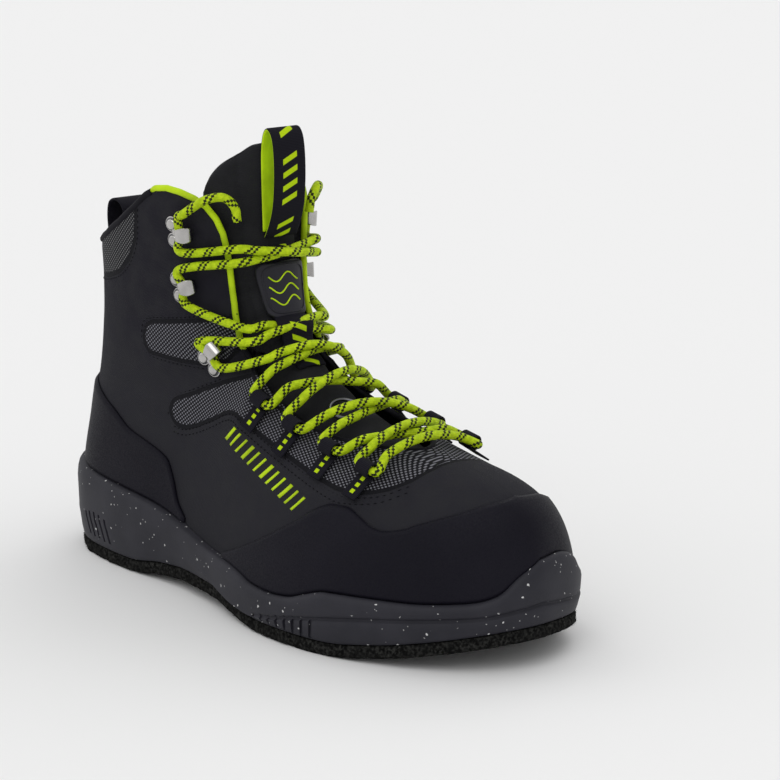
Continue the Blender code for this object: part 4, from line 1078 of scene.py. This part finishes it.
def hook_frame(side, along, height):
    """A hook's place on the upper: origin, towards the throat, up and outwards."""
    x, z = along * LENGTH - HEEL_SEAT, height * UPPER_HEIGHT
    turn = turn_at(x, z)
    out = form_normals(side, turn, z)
    rise = form_points(side, turn, z + 0.001) - form_points(side, turn, z - 0.001)
    up = unit(rise - out * (rise @ out))
    ahead = np.cross(up, out) * -side
    ahead = -ahead if ahead[0] < 0 else ahead
    here = form_points(side, turn, z)
    tall, wide = 2.05 * HOOK_PLATE_RADIUS, 1.4 * HOOK_PLATE_RADIUS
    step_z, step_x = np.meshgrid(np.linspace(-tall, tall, 21), np.linspace(-wide, HOOK_NECK + HOOK_BEND, 21))
    near = form_points(side, turn_at(x + step_x, z + step_z), z + step_z) - here
    on_strip = np.abs(near @ up) < HOOK_HEIGHT / 2
    under = (np.abs(near @ up) < tall) & (on_strip | (near @ ahead < 0.6 * HOOK_PLATE_RADIUS))
    rise = np.max(np.where(under, near @ out, 0.0))
    return here + out * (rise + GAP), ahead, up, out


SIDE_NAMES = {LATERAL: "lateral", MEDIAL: "medial"}
SIDES = tuple(SIDE_NAMES.items())
LOOP_FRAMES = {(side, n): loop_frame(side, *row) for side, _ in SIDES for n, row in enumerate(LOOPS, 1)}
HOOK_FRAMES = {(side, n): hook_frame(side, *row) for side, _ in SIDES for n, row in enumerate(HOOKS, 1)}


def hook_seat(side, number):
    """The lace's middle inside a hook, against its bend."""
    here, ahead, _, out = HOOK_FRAMES[side, number]
    return here + ahead * HOOK_NECK + out * (HOOK_SHEET / 2 + HOOK_BEND)


def eye(side, kind, number, above):
    """Where the lace leaves a station, above or below its middle."""
    if kind == "loop":
        return LOOP_FRAMES[side, number][4 if above else 5]
    return hook_seat(side, number) + HOOK_FRAMES[side, number][2] * LACE_TURN * (1.1 if above else -1.1)


def strand(side, place, lift):
    """The lace's way from a station to the next one up on the other side."""
    height, lean = CROSSINGS[place]
    low = lift
    if place == UNDER_STRAP:
        low = lift - UNDER_LIFT + TONGUE_FACE + 0.25 * LACE
    way = [eye(side, *STATIONS[place], True)]
    for cross in STRAND_STEPS:
        edge = np.clip((abs(cross) - 0.25) / 0.75, 0, 1) ** 1.4
        off = low + (EDGE_LIFT - low) * edge
        way.append(over_instep(height - lean * cross, side * cross * CROSSING_REACH, off))
    return [*way, eye(-side, *STATIONS[place + 1], False)]


def lace_half(side, lift):
    """Half of the lace, from the lowest loop on one side up to a top hook."""
    way = []
    for place in range(len(CROSSINGS)):
        kind, number = STATIONS[place]
        if place:
            way.append(hook_seat(side, number) if kind == "hook" else LOOP_FRAMES[side, number][0])
        way += strand(side, place, lift)
        side = -side
    way.append(hook_seat(side, 1))
    return way


def make_laces():
    lowest = {side: LOOP_FRAMES[side, 4] for side in (LATERAL, MEDIAL)}
    bar = [lowest[LATERAL][0], lowest[LATERAL][5]]
    bar += [over_instep(BAR_HEIGHT, t * CROSSING_REACH, EDGE_LIFT) for t in (-1.0, -0.5, 0.0, 0.5, 1.0)]
    bar += [lowest[MEDIAL][5], lowest[MEDIAL][0]]
    way = lace_half(LATERAL, OVER_LIFT)[::-1] + bar + lace_half(MEDIAL, UNDER_LIFT)
    lace = tube("lace", smooth_line(way, 1500), LACE / 2, [LACE_LOOK], 14)
    dress(lace, "lace_cord", "lace_bar", *(f"lace_crossing_{n}" for n in range(1, len(CROSSINGS) + 1)))
    for side, label in SIDES:
        seat = hook_seat(side, 1)
        way = [seat, seat + HOOK_FRAMES[side, 1][2] * LACE_TURN]
        way += [over_instep(height, side * across, lift * EDGE_LIFT) for height, across, lift in LACE_END]
        path = smooth_line(way, 90)
        end = tube(f"lace_end_{label}_cord", path, LACE / 2, [LACE_LOOK], 14)
        dress(end, "lace_cord", f"lace_end_{label}")


# The upper

UPPER_COLUMNS = 216
UPPER_ROWS = 104


def outline_line(side, outline):
    """A side-view outline in even steps, as points on the form and as ahead and height."""
    line = even_line([*outline, outline[0]], np.linspace(0, 1, 160))
    x, z = line[:, 0] / 1000 - HEEL_SEAT, line[:, 1] / 1000
    z = np.minimum(z, 0.99 * UPPER_HEIGHT)
    inside = np.minimum(x, front_x(z))
    points = np.stack([x, centre_y(inside) + side * half_width(side, inside, z), z], -1)
    return points, line / 1000 - [HEEL_SEAT, 0]


def window_distance(side, points, outline):
    """How far points of the upper lie inside a side-view outline: negative outside."""
    line, flat = outline_line(side, outline)
    away = np.full(points.shape[:2], 1.0)
    x, z = points[..., 0], points[..., 2]
    inside = np.zeros(points.shape[:2], bool)
    for i in range(len(line) - 1):
        a, b = line[i], line[i + 1]
        along = b - a
        share = np.clip(((points - a) @ along) / max(along @ along, 1e-12), 0, 1)
        away = np.minimum(away, np.linalg.norm(points - a - share[..., None] * along, axis=-1))
        (ax, az), (bx, bz) = flat[i], flat[i + 1]
        crosses = (az > z) != (bz > z)
        inside ^= crosses & (x < ax + (z - az) * (bx - ax) / np.where(bz == az, 1e-12, bz - az))
    return np.where(inside, away, -away)


# Soft folds of the upper: x and height of the middle, direction (degrees from level), half length,
# half width, depth.
FOLDS = [
    (0.06, 0.1, 18, 0.034, 0.006, -0.0007), (0.05, 0.088, 10, 0.03, 0.0055, 0.0006),
    (0.035, 0.128, 6, 0.03, 0.008, -0.0006), (0.02, 0.112, -4, 0.026, 0.007, 0.0005),
    (0.15, 0.068, -24, 0.03, 0.0065, -0.0006), (0.128, 0.06, -34, 0.024, 0.006, 0.0005),
    (0.172, 0.074, -14, 0.022, 0.005, 0.0004),
]


def fold_lift(points):
    lift = np.zeros(points.shape[:-1])
    for x, z, angle, reach, width, depth in FOLDS:
        c, s = math.cos(math.radians(angle)), math.sin(math.radians(angle))
        dx, dz = points[..., 0] - x, points[..., 2] - z
        along, across = dx * c + dz * s, dz * c - dx * s
        lift += depth * np.exp(-((along / reach) ** 2) - (across / width) ** 2)
    return lift


def make_upper():
    rise = (np.linspace(0, 1, UPPER_ROWS + 1) ** 0.92)[:, None]
    tables = {"window": [], "collar": [], "lift": []}
    outer, inner = [], []
    shares = np.arange(UPPER_COLUMNS + 1) / UPPER_COLUMNS
    for side, part in ((LATERAL, shares), (MEDIAL, shares[1:-1][::-1])):
        base = upper_points(side, part, rise)
        lift = fold_lift(base) - 0.0004 * np.exp(-((1 - rise) / 0.02) ** 2)
        outer.append(upper_points(side, part, rise, lift + 1e-9))
        inner.append(upper_points(side, part, rise, np.full(base.shape[:2], -WALL)))
        window = window_distance(side, base, UPPER_WINDOW)
        tables["window"].append(np.maximum(window, window_distance(side, base, LOWER_WINDOW)))
        tables["collar"].append(window_distance(side, base, COLLAR_WINDOW))
        tables["lift"].append(base[..., 2])
    values = {key: np.concatenate(parts, axis=1) for key, parts in tables.items()}
    walls = np.concatenate(outer, 1), np.concatenate(inner, 1)
    made = shell("upper_shell", *walls, True, [CLOTH, LINING], values)
    dress(made, "quarter_cloth", "upper")


def make_bindings():
    """Lime piping down the throat, and dark binding round the rest of the edge."""
    shares = np.linspace(0, 1, 700)
    for side, label in SIDES:
        line = upper_points(side, shares, np.ones(shares.shape), np.full(shares.shape, -WALL * 0.45))
        peak = int(line[:, 2].argmax())
        start = int(np.argmax(line[:, 2] > 0.60 * UPPER_HEIGHT))
        throat = line[start : peak + 30 : 2] + UP * PIPING_LIFT
        dress(tube(f"piping_{label}", throat, PIPING_RADIUS, [LIME_TAPE], taper=0.004), "lace_cord")
        rear, front = line[peak + 24 :: 3], line[: start + 8 : 3]
        dress(tube(f"collar_binding_{label}", rear, COLLAR_BINDING, [BINDING]), "coated_cloth")
        dress(tube(f"throat_binding_{label}", front, THROAT_BINDING, [BINDING]), "coated_cloth")


def overlay(name, edge, node, rows=22, per_side=150):
    """An overlay between the midsole's rim and its upper edge, with a rolled upper edge."""
    table = sorted(edge)
    low, high = table[0][0], table[-1][0]
    shares = np.linspace(low, high, per_side)
    toe = edge[0][0] > edge[-1][0]
    outer, inner = [], []
    for side in (LATERAL, MEDIAL):
        part = shares[::-1] if toe else shares
        part = part if side == LATERAL else part[::-1][1:]
        top = follow(table, part, 1) * TOE_BOX_HEIGHT
        foot = np.minimum(rim_z(side, part) + RIM_CLEARANCE * 0.2, top - GAP)
        rise = np.linspace(0, 1, rows)[:, None]
        z = foot + (top - foot) * rise
        from_edge = (top - z) + 1e-6
        ends = (high - part if toe else part - low) * math.pi * 0.15
        near = np.minimum(from_edge, np.maximum(ends, 0) + 1e-6)
        thick = OVERLAY * rolled(near / OVERLAY_ROLL)
        turn = math.pi * part + 0 * z
        outer.append(form_points(side, turn, z, OVERLAY_LIFT + thick))
        inner.append(form_points(side, turn, z, np.full(z.shape, 0.0001)))
    made = shell(name, np.concatenate(outer, 1), np.concatenate(inner, 1), False, [COATED], flip=not toe)
    dress(made, "coated_cloth", node)


# The sole


def make_midsole(columns=180):
    def wall(rise, flare):
        def make(side, share):
            made = outline_points(side, share, np.full(share.shape, flare * RIM_FLARE))
            foot = sole_z(made[..., 0]) + FELT + GAP
            made[..., 2] = foot + rise * (rim_z(side, share) - foot)
            return made
        return make

    def groove(lift, depth):
        def make(side, share):
            deep = depth * follow(GROOVE, share, 2) * GROOVE_DEPTH * 1.3
            made = outline_points(side, share, GROOVE_FLARE * RIM_FLARE - deep)
            made[..., 2] = follow(GROOVE, share, 1) * RIM_HEIGHT + lift * GROOVE_WIDTH
            return made
        return make

    def between(one, two, share_up):
        def make(side, share):
            a, b = one(side, share), two(side, share)
            return a + (b - a) * share_up
        return make

    def cup(rise):
        def make(side, share):
            turn = math.pi * share
            rim = rim_z(side, share)
            floor = deck_z(form_points(side, turn, rim)[..., 0])
            z = floor + rise * (rim - floor)
            made = form_points(side, turn, z, np.full(share.shape, CUP_CLEARANCE * (1 - 0.8 * rise)))
            made[..., 2] = z if rise > 0 else deck_z(made[..., 0])
            return made
        return make

    low, high, above = groove(-0.5, 0), groove(0.5, 0), wall(0.78, 1.0)
    levels = [
        wall(0.0, -0.20), wall(0.02, 0.10), wall(0.10, 0.35), between(wall(0.10, 0.35), low, 0.5), low,
        groove(-0.34, 0.35), groove(-0.16, 0.95), groove(0.16, 0.95), groove(0.34, 0.35), high,
        between(high, above, 0.33), between(high, above, 0.67), above, wall(0.88, 0.86), wall(0.945, 0.60),
        wall(0.985, 0.20), wall(1.0, -0.25), cup(1), cup(0.6), cup(0.3), cup(0),
    ]
    made = ring_solid("midsole_body", [both_sides(columns, level) for level in levels], [RUBBER])
    made.data.set_sharp_from_angle(angle=math.radians(70))
    cut_out(made, rib_cutter())
    dress(made, "midsole_rubber", "midsole")


def cut_out(piece, cutter):
    """Cuts one object out of a piece, and removes it."""
    cut = piece.modifiers.new("Cut", "BOOLEAN")
    cut.operation = "DIFFERENCE"
    cut.solver = "EXACT"
    cut.object = cutter
    bpy.context.view_layer.update()
    graph = bpy.context.evaluated_depsgraph_get()
    mesh = bpy.data.meshes.new_from_object(piece.evaluated_get(graph))
    piece.modifiers.clear()
    piece.data = mesh
    bpy.data.objects.remove(cutter)


def rib_cutter():
    """Small leaning boxes, one for each rib, that go into the midsole's side."""
    points, faces = [], []
    box = [(0, 3, 2, 1), (4, 5, 6, 7), (0, 1, 5, 4), (1, 2, 6, 5), (2, 3, 7, 6), (3, 0, 4, 7)]
    for share, foot, head, lean in RIBS:
        for side in (LATERAL, MEDIAL):
            at = np.array([share - 0.01, share, share + 0.01])
            base = outline_points(side, at)
            ahead = unit(base[0] - base[2])
            out = unit(outline_points(side, at, np.full(3, 0.001))[1] - base[1])
            floor = sole_z(base[1][0]) + FELT + GAP
            low = floor + 0.10 * (rim_z(side, share) - floor)
            groove = follow(GROOVE, share, 1) * RIM_HEIGHT
            corners = []
            for z in (foot * RIM_HEIGHT, head * RIM_HEIGHT):
                middle = base[1] + ahead * lean * (z - foot * RIM_HEIGHT) + UP * z
                wall = np.interp(z, (low, groove), (0.35 * RIM_FLARE, GROOVE_FLARE * RIM_FLARE))
                inner, outer = wall - RIB_DEPTH, wall + 3 * RIB_DEPTH
                for across, deep in ((-0.5, inner), (0.5, inner), (0.85, outer), (-0.85, outer)):
                    corners.append(middle + ahead * across * RIB_WIDTH + out * deep)
            edges = [corners[n] - corners[0] for n in (1, 3, 4)]
            order = box if np.linalg.det(edges) > 0 else [face[::-1] for face in box]
            faces += [[len(points) + c for c in face] for face in order]
            points += corners
    return linked("rib_cutter", raw_mesh("rib_cutter", points, faces, smooth=False))


def felt_ring(columns, inset):
    return both_sides(columns, lambda side, share: outline_points(side, share, np.full(share.shape, -inset)))


def make_felt(rng, columns=260):
    """The felt sole, with a ragged side."""
    levels = []
    for share, inset in FELT_SIDE:
        ragged = rng.normal(0, FELT_RAGGED, 2 * columns)
        ragged = (ragged + np.roll(ragged, 1) + np.roll(ragged, -1)) / 1.8
        ring = felt_ring(columns, inset)
        ring = ring + unit(ring - felt_ring(columns, 0.002)) * ragged[:, None]
        ring[:, 2] = sole_z(ring[:, 0]) + share * FELT
        levels.append(ring)
    dress(ring_solid("felt_body", levels, [FELT_LOOK]), "felt", "felt_outsole")


def make_fibres(rng, count=9000):
    """Loose fibres, three-cornered and very thin, out of the felt's side."""
    at = rng.uniform(0, 1, count)
    sides = rng.integers(0, 2, count) * 2 - 1
    points, faces = [], []
    for side in (LATERAL, MEDIAL):
        part = at[sides == side]
        number = len(part)
        base = outline_points(side, part, np.full(number, -0.0002))
        out = unit(outline_points(side, part, np.full(number, 0.001)) - base)
        base[:, 2] = sole_z(base[:, 0]) + rng.uniform(0.05, 1.0, number) * FELT
        lean = unit(rng.normal(0, 1.0, (number, 3)))
        way = unit(out * rng.uniform(0.2, 1.0, number)[:, None] + lean * 0.9)
        tip = base + way * rng.uniform(*FIBRE_LENGTH, number)[:, None]
        tip[:, 2] = np.maximum(tip[:, 2], 0.0001)
        across = unit(np.cross(way, rng.normal(0, 1, (number, 3)))) * FIBRE_WIDTH
        faces += (len(points) + np.arange(3 * number).reshape(-1, 3)).tolist()
        points += np.stack([base - across, base + across, tip], 1).reshape(-1, 3).tolist()
    dress(add_object("felt_fibres", raw_mesh("felt_fibres", points, faces), [FELT_LOOK]), "felt")


# Tongue, strap and badge


def make_tongue(rows=120, columns=64):
    rise = np.linspace(0, 1, rows)[:, None]
    cross = np.linspace(-1, 1, columns)[None]
    top = follow(TONGUE_TOP, np.abs(cross), 1) * UPPER_HEIGHT
    bottom = TONGUE_BOTTOM * UPPER_HEIGHT
    z = bottom + (top - bottom) * rise
    height = z / UPPER_HEIGHT
    width = follow(TONGUE_WIDTH, height, 1) * SHAFT_WIDTH * cross
    roll = rolled(np.minimum(1 - np.abs(cross), (1 - rise) * 3.0) / 0.10)
    puff = np.zeros(z.shape)
    for fold in TONGUE_FOLDS:
        puff -= 0.0010 * np.exp(-(((height - fold - 0.012 * cross) / 0.008) ** 2))
    for seam in (-TONGUE_SEAM, TONGUE_SEAM):
        puff -= 0.0009 * np.exp(-(((cross - seam) / 0.035) ** 2)) * np.clip((height - 0.55) / 0.1, 0, 1)
    middle = TONGUE_FACE - TONGUE_EDGE_DROP * cross**2 - TONGUE / 2
    outer = instep_points(z, width, middle + TONGUE / 2 * roll + puff)
    inner = instep_points(z, width, middle - TONGUE / 2 * roll + 0 * z)
    made = shell("tongue_body", outer, inner, False, [TONGUE_LOOK, LINING])
    dress(made, "tongue_cloth", "tongue")


def patch(name, heights, half_widths, face, thickness, materials, columns=25, hump=0.0):
    """A flat piece on the tongue's middle, with rolled edges, u across and v along in metres."""
    cross = np.sin(np.linspace(-1, 1, columns) * math.pi / 2)[None]
    z = heights[:, None] * UPPER_HEIGHT + 0 * cross
    w = half_widths[:, None] * cross
    lift = face + np.broadcast_to(hump, heights.shape)[:, None] + 0 * cross
    ends = np.minimum(heights - heights[0], heights[-1] - heights)[:, None] * UPPER_HEIGHT
    near = np.minimum((1 - np.abs(cross)) * np.max(half_widths), ends)
    outer = instep_points(z, w, lift + thickness * (0.3 + 0.7 * rolled(near / (0.8 * thickness))))
    inner = instep_points(z, w, lift + 1e-6)
    v = lengths_uv(outer, False)[..., 1]
    uv = np.stack([w, v[:, columns // 2][:, None] + 0 * w], -1)
    return shell(name, outer, inner, False, materials, uv=uv)


def make_strap():
    """The strap on the tongue, which humps over the lace that runs under it."""
    heights = np.linspace(*STRAP_ENDS, 90)
    hump = STRAP_HUMP * np.exp(-(((heights - CROSSINGS[UNDER_STRAP][0]) / 0.024) ** 2))
    widths = np.full(90, STRAP_WIDTH / 2)
    made = patch("strap_web", heights, widths, STRAP_FACE, WEBBING, [WEB_DASHES], hump=hump)
    dress(made, "webbing", "tongue_strap")


def make_badge():
    """A rubber plate with a raised rim and three waves."""
    table = [(h, w * STRAP_WIDTH) for h, w in BADGE_OUTLINE]
    heights = np.linspace(table[0][0], table[-1][0], 60)
    corner = np.minimum(heights - heights[0], heights[-1] - heights) / 0.012
    widths = follow(table, heights, 1) * (0.86 + 0.14 * rolled(corner))
    made = patch("badge_plate", heights, widths, BADGE_FACE, BADGE, [BADGE_LOOK], 41)
    dress(made, "badge_rubber", "tongue_badge")
    middle = (heights[0] + heights[-1]) / 2
    cross = np.linspace(*BADGE_WAVE_ENDS, 50)
    for number, rise in enumerate((-BADGE_WAVE_PITCH, 0.0, BADGE_WAVE_PITCH)):
        swell = 0.010 * np.sin(cross / BADGE_WAVE_HALF * math.pi * 1.25 + number * 0.5)
        height = (middle + rise + swell) * UPPER_HEIGHT
        line = instep_points(height, cross, np.full(50, BADGE_FACE + BADGE + 0.0001))
        dress(tube(f"badge_wave_{number + 1}", line, BADGE_WAVE_RADIUS, [LIME_TAPE], 8), "lace_cord")
    turn = np.linspace(0, 2 * math.pi, 120)
    across, up = (np.sign(v) * np.abs(v) ** BADGE_SQUARENESS for v in (np.cos(turn), np.sin(turn)))
    z = middle + (heights[-1] - heights[0]) / 2 * BADGE_RIM_SHARE[1] * up
    w = np.interp(z, heights, widths) * BADGE_RIM_SHARE[0] * across
    line = instep_points(z * UPPER_HEIGHT, w, np.full(120, BADGE_FACE + BADGE))
    dress(tube("badge_rim", line, BADGE_RIM_RADIUS, [BADGE_LOOK], 8), "badge_rubber")


def make_pull_loops():
    """The loops on the tongue and over the collar's back, as strips along a path of ahead and height."""
    path = []
    for height, off in PULL_LOOP:
        z = height * UPPER_HEIGHT
        path.append((float(front_x(z)) + TONGUE_FACE + GAP + WEBBING / 2 + off * PULL_LOOP_REACH, z))
    axes = (ACROSS * float(centre_y(front_x(0.9 * UPPER_HEIGHT))), AHEAD, ACROSS, UP)
    looks = [WEB_DASHES, LIME_TAPE]
    made = web_strip("tongue_loop_web", smooth_line(path, 110), STRAP_WIDTH, WEBBING, axes, looks)
    dress(made, "webbing", "tongue_pull_loop")
    path = []
    for height, off in HEEL_LOOP:
        z = height * UPPER_HEIGHT
        path.append((float(back_x(z)) - 2 * GAP - WEBBING / 2 + off * HEEL_LOOP_REACH, z))
    axes = (ACROSS * 0, AHEAD, ACROSS, UP)
    made = web_strip("heel_loop_web", smooth_line(path, 90), HEEL_LOOP_WIDTH, WEBBING, axes, [WEB_PLAIN])
    dress(made, "webbing", "heel_pull_loop")


# Loops, hooks and ring


def make_lace_loops():
    size = LACE / 2 + LACE_CLEARANCE + LOOP_WEBBING / 2
    path = [(size * math.sin(a), -size * math.cos(a)) for a in np.radians(np.linspace(20, 345, 46))]
    path += [(size * 0.55 + LOOP_TAIL * t, -size - 0.0006 * t) for t in np.linspace(0.12, 1.0, 14)]
    for (side, number), (here, down, edge, out, _, _) in LOOP_FRAMES.items():
        name = f"{SIDE_NAMES[side]}_{number}"
        axes = (here, down, edge, out)
        made = web_strip(f"loop_web_{name}", path, LOOP_WIDTH, LOOP_WEBBING, axes, [WEB_SQUARES], 4)
        dress(made, "webbing", f"lace_loop_{name}")


def add_turned(points, faces, centre, axis, ahead, profile, sides=28):
    """Adds a turned solid: profile rows are radius and height along the axis."""
    turns = np.linspace(0, 2 * math.pi, sides, endpoint=False)
    circle = np.cos(turns)[:, None] * ahead + np.sin(turns)[:, None] * np.cross(axis, ahead)
    grid = np.array([centre + axis * height + circle * radius for radius, height in profile])
    base = len(points)
    last = base + (len(profile) - 1) * sides
    points += grid.reshape(-1, 3).tolist()
    faces += quads(len(profile), sides, base)
    faces += [[base + j for j in range(sides)][::-1], [last + j for j in range(sides)]]


def hook_path():
    """A hook's strip, ahead and outwards: flat on the upper, then back over itself around the lace."""
    middle = HOOK_SHEET / 2 + HOOK_BEND
    path = [(-0.5 * HOOK_PLATE_RADIUS, 0.6 * HOOK_SHEET), (0.3 * HOOK_REACH, 0.55 * HOOK_SHEET)]
    path.append((0.8 * HOOK_REACH, 0.5 * HOOK_SHEET))
    turns = np.radians(np.linspace(-72, 92, 26))
    path += [(HOOK_REACH + HOOK_BEND * math.cos(a), middle + HOOK_BEND * math.sin(a)) for a in turns]
    path += [(0.88 * HOOK_REACH, middle + 0.99 * HOOK_BEND), (0.62 * HOOK_REACH, middle + 0.88 * HOOK_BEND)]
    return smooth_line(path, 60)


def make_hooks():
    """Each hook: a rolled strip that widens to its mouth, and two round plates with a rivet each, ringed by a
    dark disc of painted shade.
    """
    path = hook_path()
    width = HOOK_HEIGHT * (0.62 + 0.46 * eased(np.linspace(-0.6, 1.4, 60)))
    width[-12:] *= np.linspace(1.0, 0.72, 12)
    for (side, number), (here, ahead, up, out) in HOOK_FRAMES.items():
        name = f"{SIDE_NAMES[side]}_{number}"
        made = web_strip(f"hook_{name}", path, width, HOOK_SHEET, (here, ahead, up, out), [NICKEL], 4)
        points, faces, ring_points, ring_faces = [], [], [], []
        for step in (-1, 1):
            seat = here - ahead * 0.55 * HOOK_PLATE_RADIUS + up * step * 1.05 * HOOK_PLATE_RADIUS
            for profile in (HOOK_PLATE, RIVET_DOME):
                add_turned(points, faces, seat, out, ahead, profile)
            # The dark disc round the rivet's foot is painted shade.
            add_turned(ring_points, ring_faces, seat, out, ahead, RIVET_SHADE_DISC)
        mesh = raw_mesh(f"hook_plate_{name}", points, faces)
        mesh.set_sharp_from_angle(angle=math.radians(35))
        plate = add_object(f"hook_plate_{name}", mesh, [NICKEL])
        rings = add_object(f"rivet_shade_rings_{name}", raw_mesh("rings", ring_points, ring_faces), [DARK_NICKEL])
        dress(made, "nickel", f"speed_hook_{name}")
        dress(plate, "nickel")
        dress(rings, "nickel")


def make_ring():
    """The wire ring on the tongue."""
    seat = over_instep(*RING_PLACE, TONGUE_FACE + 3 * GAP + RING_WIRE)
    axis = unit(over_instep(*RING_PLACE, TONGUE_FACE + 0.004) - seat)
    first = unit(np.cross(axis, ACROSS))
    turns = np.linspace(0, 2 * math.pi, 72, endpoint=False)[:, None]
    outward = np.cos(turns) * first + np.sin(turns) * np.cross(axis, first)
    bend = np.linspace(0, 2 * math.pi, 14, endpoint=False)[:, None]
    grid = seat + RING_RADIUS * outward[:, None]
    grid = grid + RING_WIRE * (np.cos(bend) * outward[:, None] + np.sin(bend) * axis)
    made = add_object("ring_wire", raw_mesh("ring_wire", grid, quads(72, 14, closed=True)), [DARK_NICKEL])
    dress(made, "nickel", "gaiter_ring")


# Stitches and the side accent


# Rows of stitches: name, distance to the left of the line, and the line, in millimetres like the windows.
LOWER_SEAM = [
    (103, 76), (107, 75.6), (112, 76.2), (120, 78.8), (132.4, 84.2), (140.5, 88.2), (148, 89.6), (158, 87),
    (183, 79.6), (207.6, 72.8), (225.7, 68.6), (233, 68.4), (241.4, 69.2), (249, 71.2), (256, 75.2),
]
STITCH_ROWS = [
    ("lower_1", 0.4, LOWER_SEAM),
    ("lower_2", -2.2, LOWER_SEAM),
    ("lower_3", 0.2, [(98, 82), (98.6, 87.6), (103, 91.6), (111, 94.6), (124, 100.0), (131, 103.0)]),
    ("upper", 0.0, [
        (134, 107.4), (124, 107.0), (104, 106.6), (84, 107.6), (78.6, 111.6), (77.4, 117.5), (79, 123.4),
        (85.6, 126.4), (100, 128.4), (118, 131.4), (137, 134.6),
    ]),
    ("collar", 0.0, [
        (16, 136.2), (32, 136.6), (49, 139.6), (62, 144), (72.5, 152.4), (79.4, 163.4), (82.4, 178),
    ]),
]
STITCH_PITCH = 0.0027
STITCH_SIZE = (0.00095, 0.00028, 0.00030)


def stitch_row(name, offset, line):
    """Stitches along a side-view line on both sides."""
    line = np.array(line, float)
    flat = smooth_line(line, int(steps(line).sum() / (STITCH_PITCH * 1000)))
    direction = unit(np.gradient(flat, axis=0))
    flat = flat + np.stack([-direction[:, 1], direction[:, 0]], 1) * offset
    x, z = flat[:, 0] / 1000 - HEEL_SEAT, flat[:, 1] / 1000
    keep = x < front_x(z) - 0.002
    x, z = x[keep], z[keep]
    turn = turn_at(x, z)
    rows = []
    for side in (LATERAL, MEDIAL):
        places = form_points(side, turn, z, np.full(z.shape, 0.00012))
        along, out = unit(np.gradient(places, axis=0)), form_normals(side, turn, z)
        rows.append((places, along, unit(np.cross(out, along)), out))
    places, along, across, out = (np.concatenate(part) for part in zip(*rows))
    dress(specks(f"stitches_{name}", places, along, across, out, STITCH_SIZE, [THREAD]), "quarter_cloth")


# The slanted dashes on the outer side: start and end of their row, in millimetres like the windows.
ACCENT = ((144.5, 79.5), (208.0, 57.5))
ACCENT_HEIGHT = 0.0078
ACCENT_SLANT = 0.0034
ACCENT_COUNT = 12
ACCENT_WIDTHS = (0.0022, 0.0015, 0.0015)
ACCENT_LIFT = 0.00045
ACCENT_SINK = 0.0006


def make_accent():
    """A row of raised slanted dashes on the outer side, each a small slab of 7 by 4 points."""
    start, end = np.array(ACCENT)
    along = (end - start) / np.linalg.norm(end - start)
    up = np.array([-along[1], along[0]])
    pace = np.linalg.norm(end - start) / 1000 / ACCENT_COUNT
    s, t = (v.reshape(-1, 1) for v in np.meshgrid(np.arange(7) / 6, np.arange(4) / 3, indexing="ij"))
    rim = np.where((s % 1 == 0) | (t % 1 == 0), 0.25, 1.0)[:, 0]
    border = [*range(4), *range(7, 28, 4), 26, 25, 24, *range(20, 3, -4)]
    points, faces = [], []
    for number in range(ACCENT_COUNT):
        ahead = pace * (number + 0.15) + ACCENT_WIDTHS[number % 3] * t + ACCENT_SLANT * s
        flat = start / 1000 + along * ahead + up * ACCENT_HEIGHT * s
        x, z = flat[:, 0] - HEEL_SEAT, flat[:, 1]
        turn = turn_at(x, z)
        lift = fold_lift(np.stack([x, x, z], -1)) + ACCENT_LIFT * rim
        offset = len(points)
        points += form_points(LATERAL, turn, z, lift).tolist()
        points += form_points(LATERAL, turn, z, np.full(28, -ACCENT_SINK)).tolist()
        faces += [face[::-1] for face in quads(7, 4, offset, around=False)]
        faces += quads(7, 4, offset + 28, around=False)
        for a, b in zip(border, border[1:] + border[:1]):
            faces.append([offset + a, offset + b, offset + 28 + b, offset + 28 + a])
    dress(add_object("side_dashes", raw_mesh("side_dashes", points, faces), [LIME_TAPE]), "lace_cord")


make_laces()
make_upper()
make_bindings()
overlay("rand_cover", RAND_EDGE, "toe_rand")
overlay("counter_cover", COUNTER_EDGE, "heel_counter")
make_midsole()
draws = np.random.default_rng(7)
make_felt(draws)
make_fibres(draws)
make_tongue()
make_strap()
make_badge()
make_pull_loops()
make_lace_loops()
make_hooks()
make_ring()
for row in STITCH_ROWS:
    stitch_row(*row)
make_accent()
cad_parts["insole"].material_slots[0].material = INSOLE_LOOK
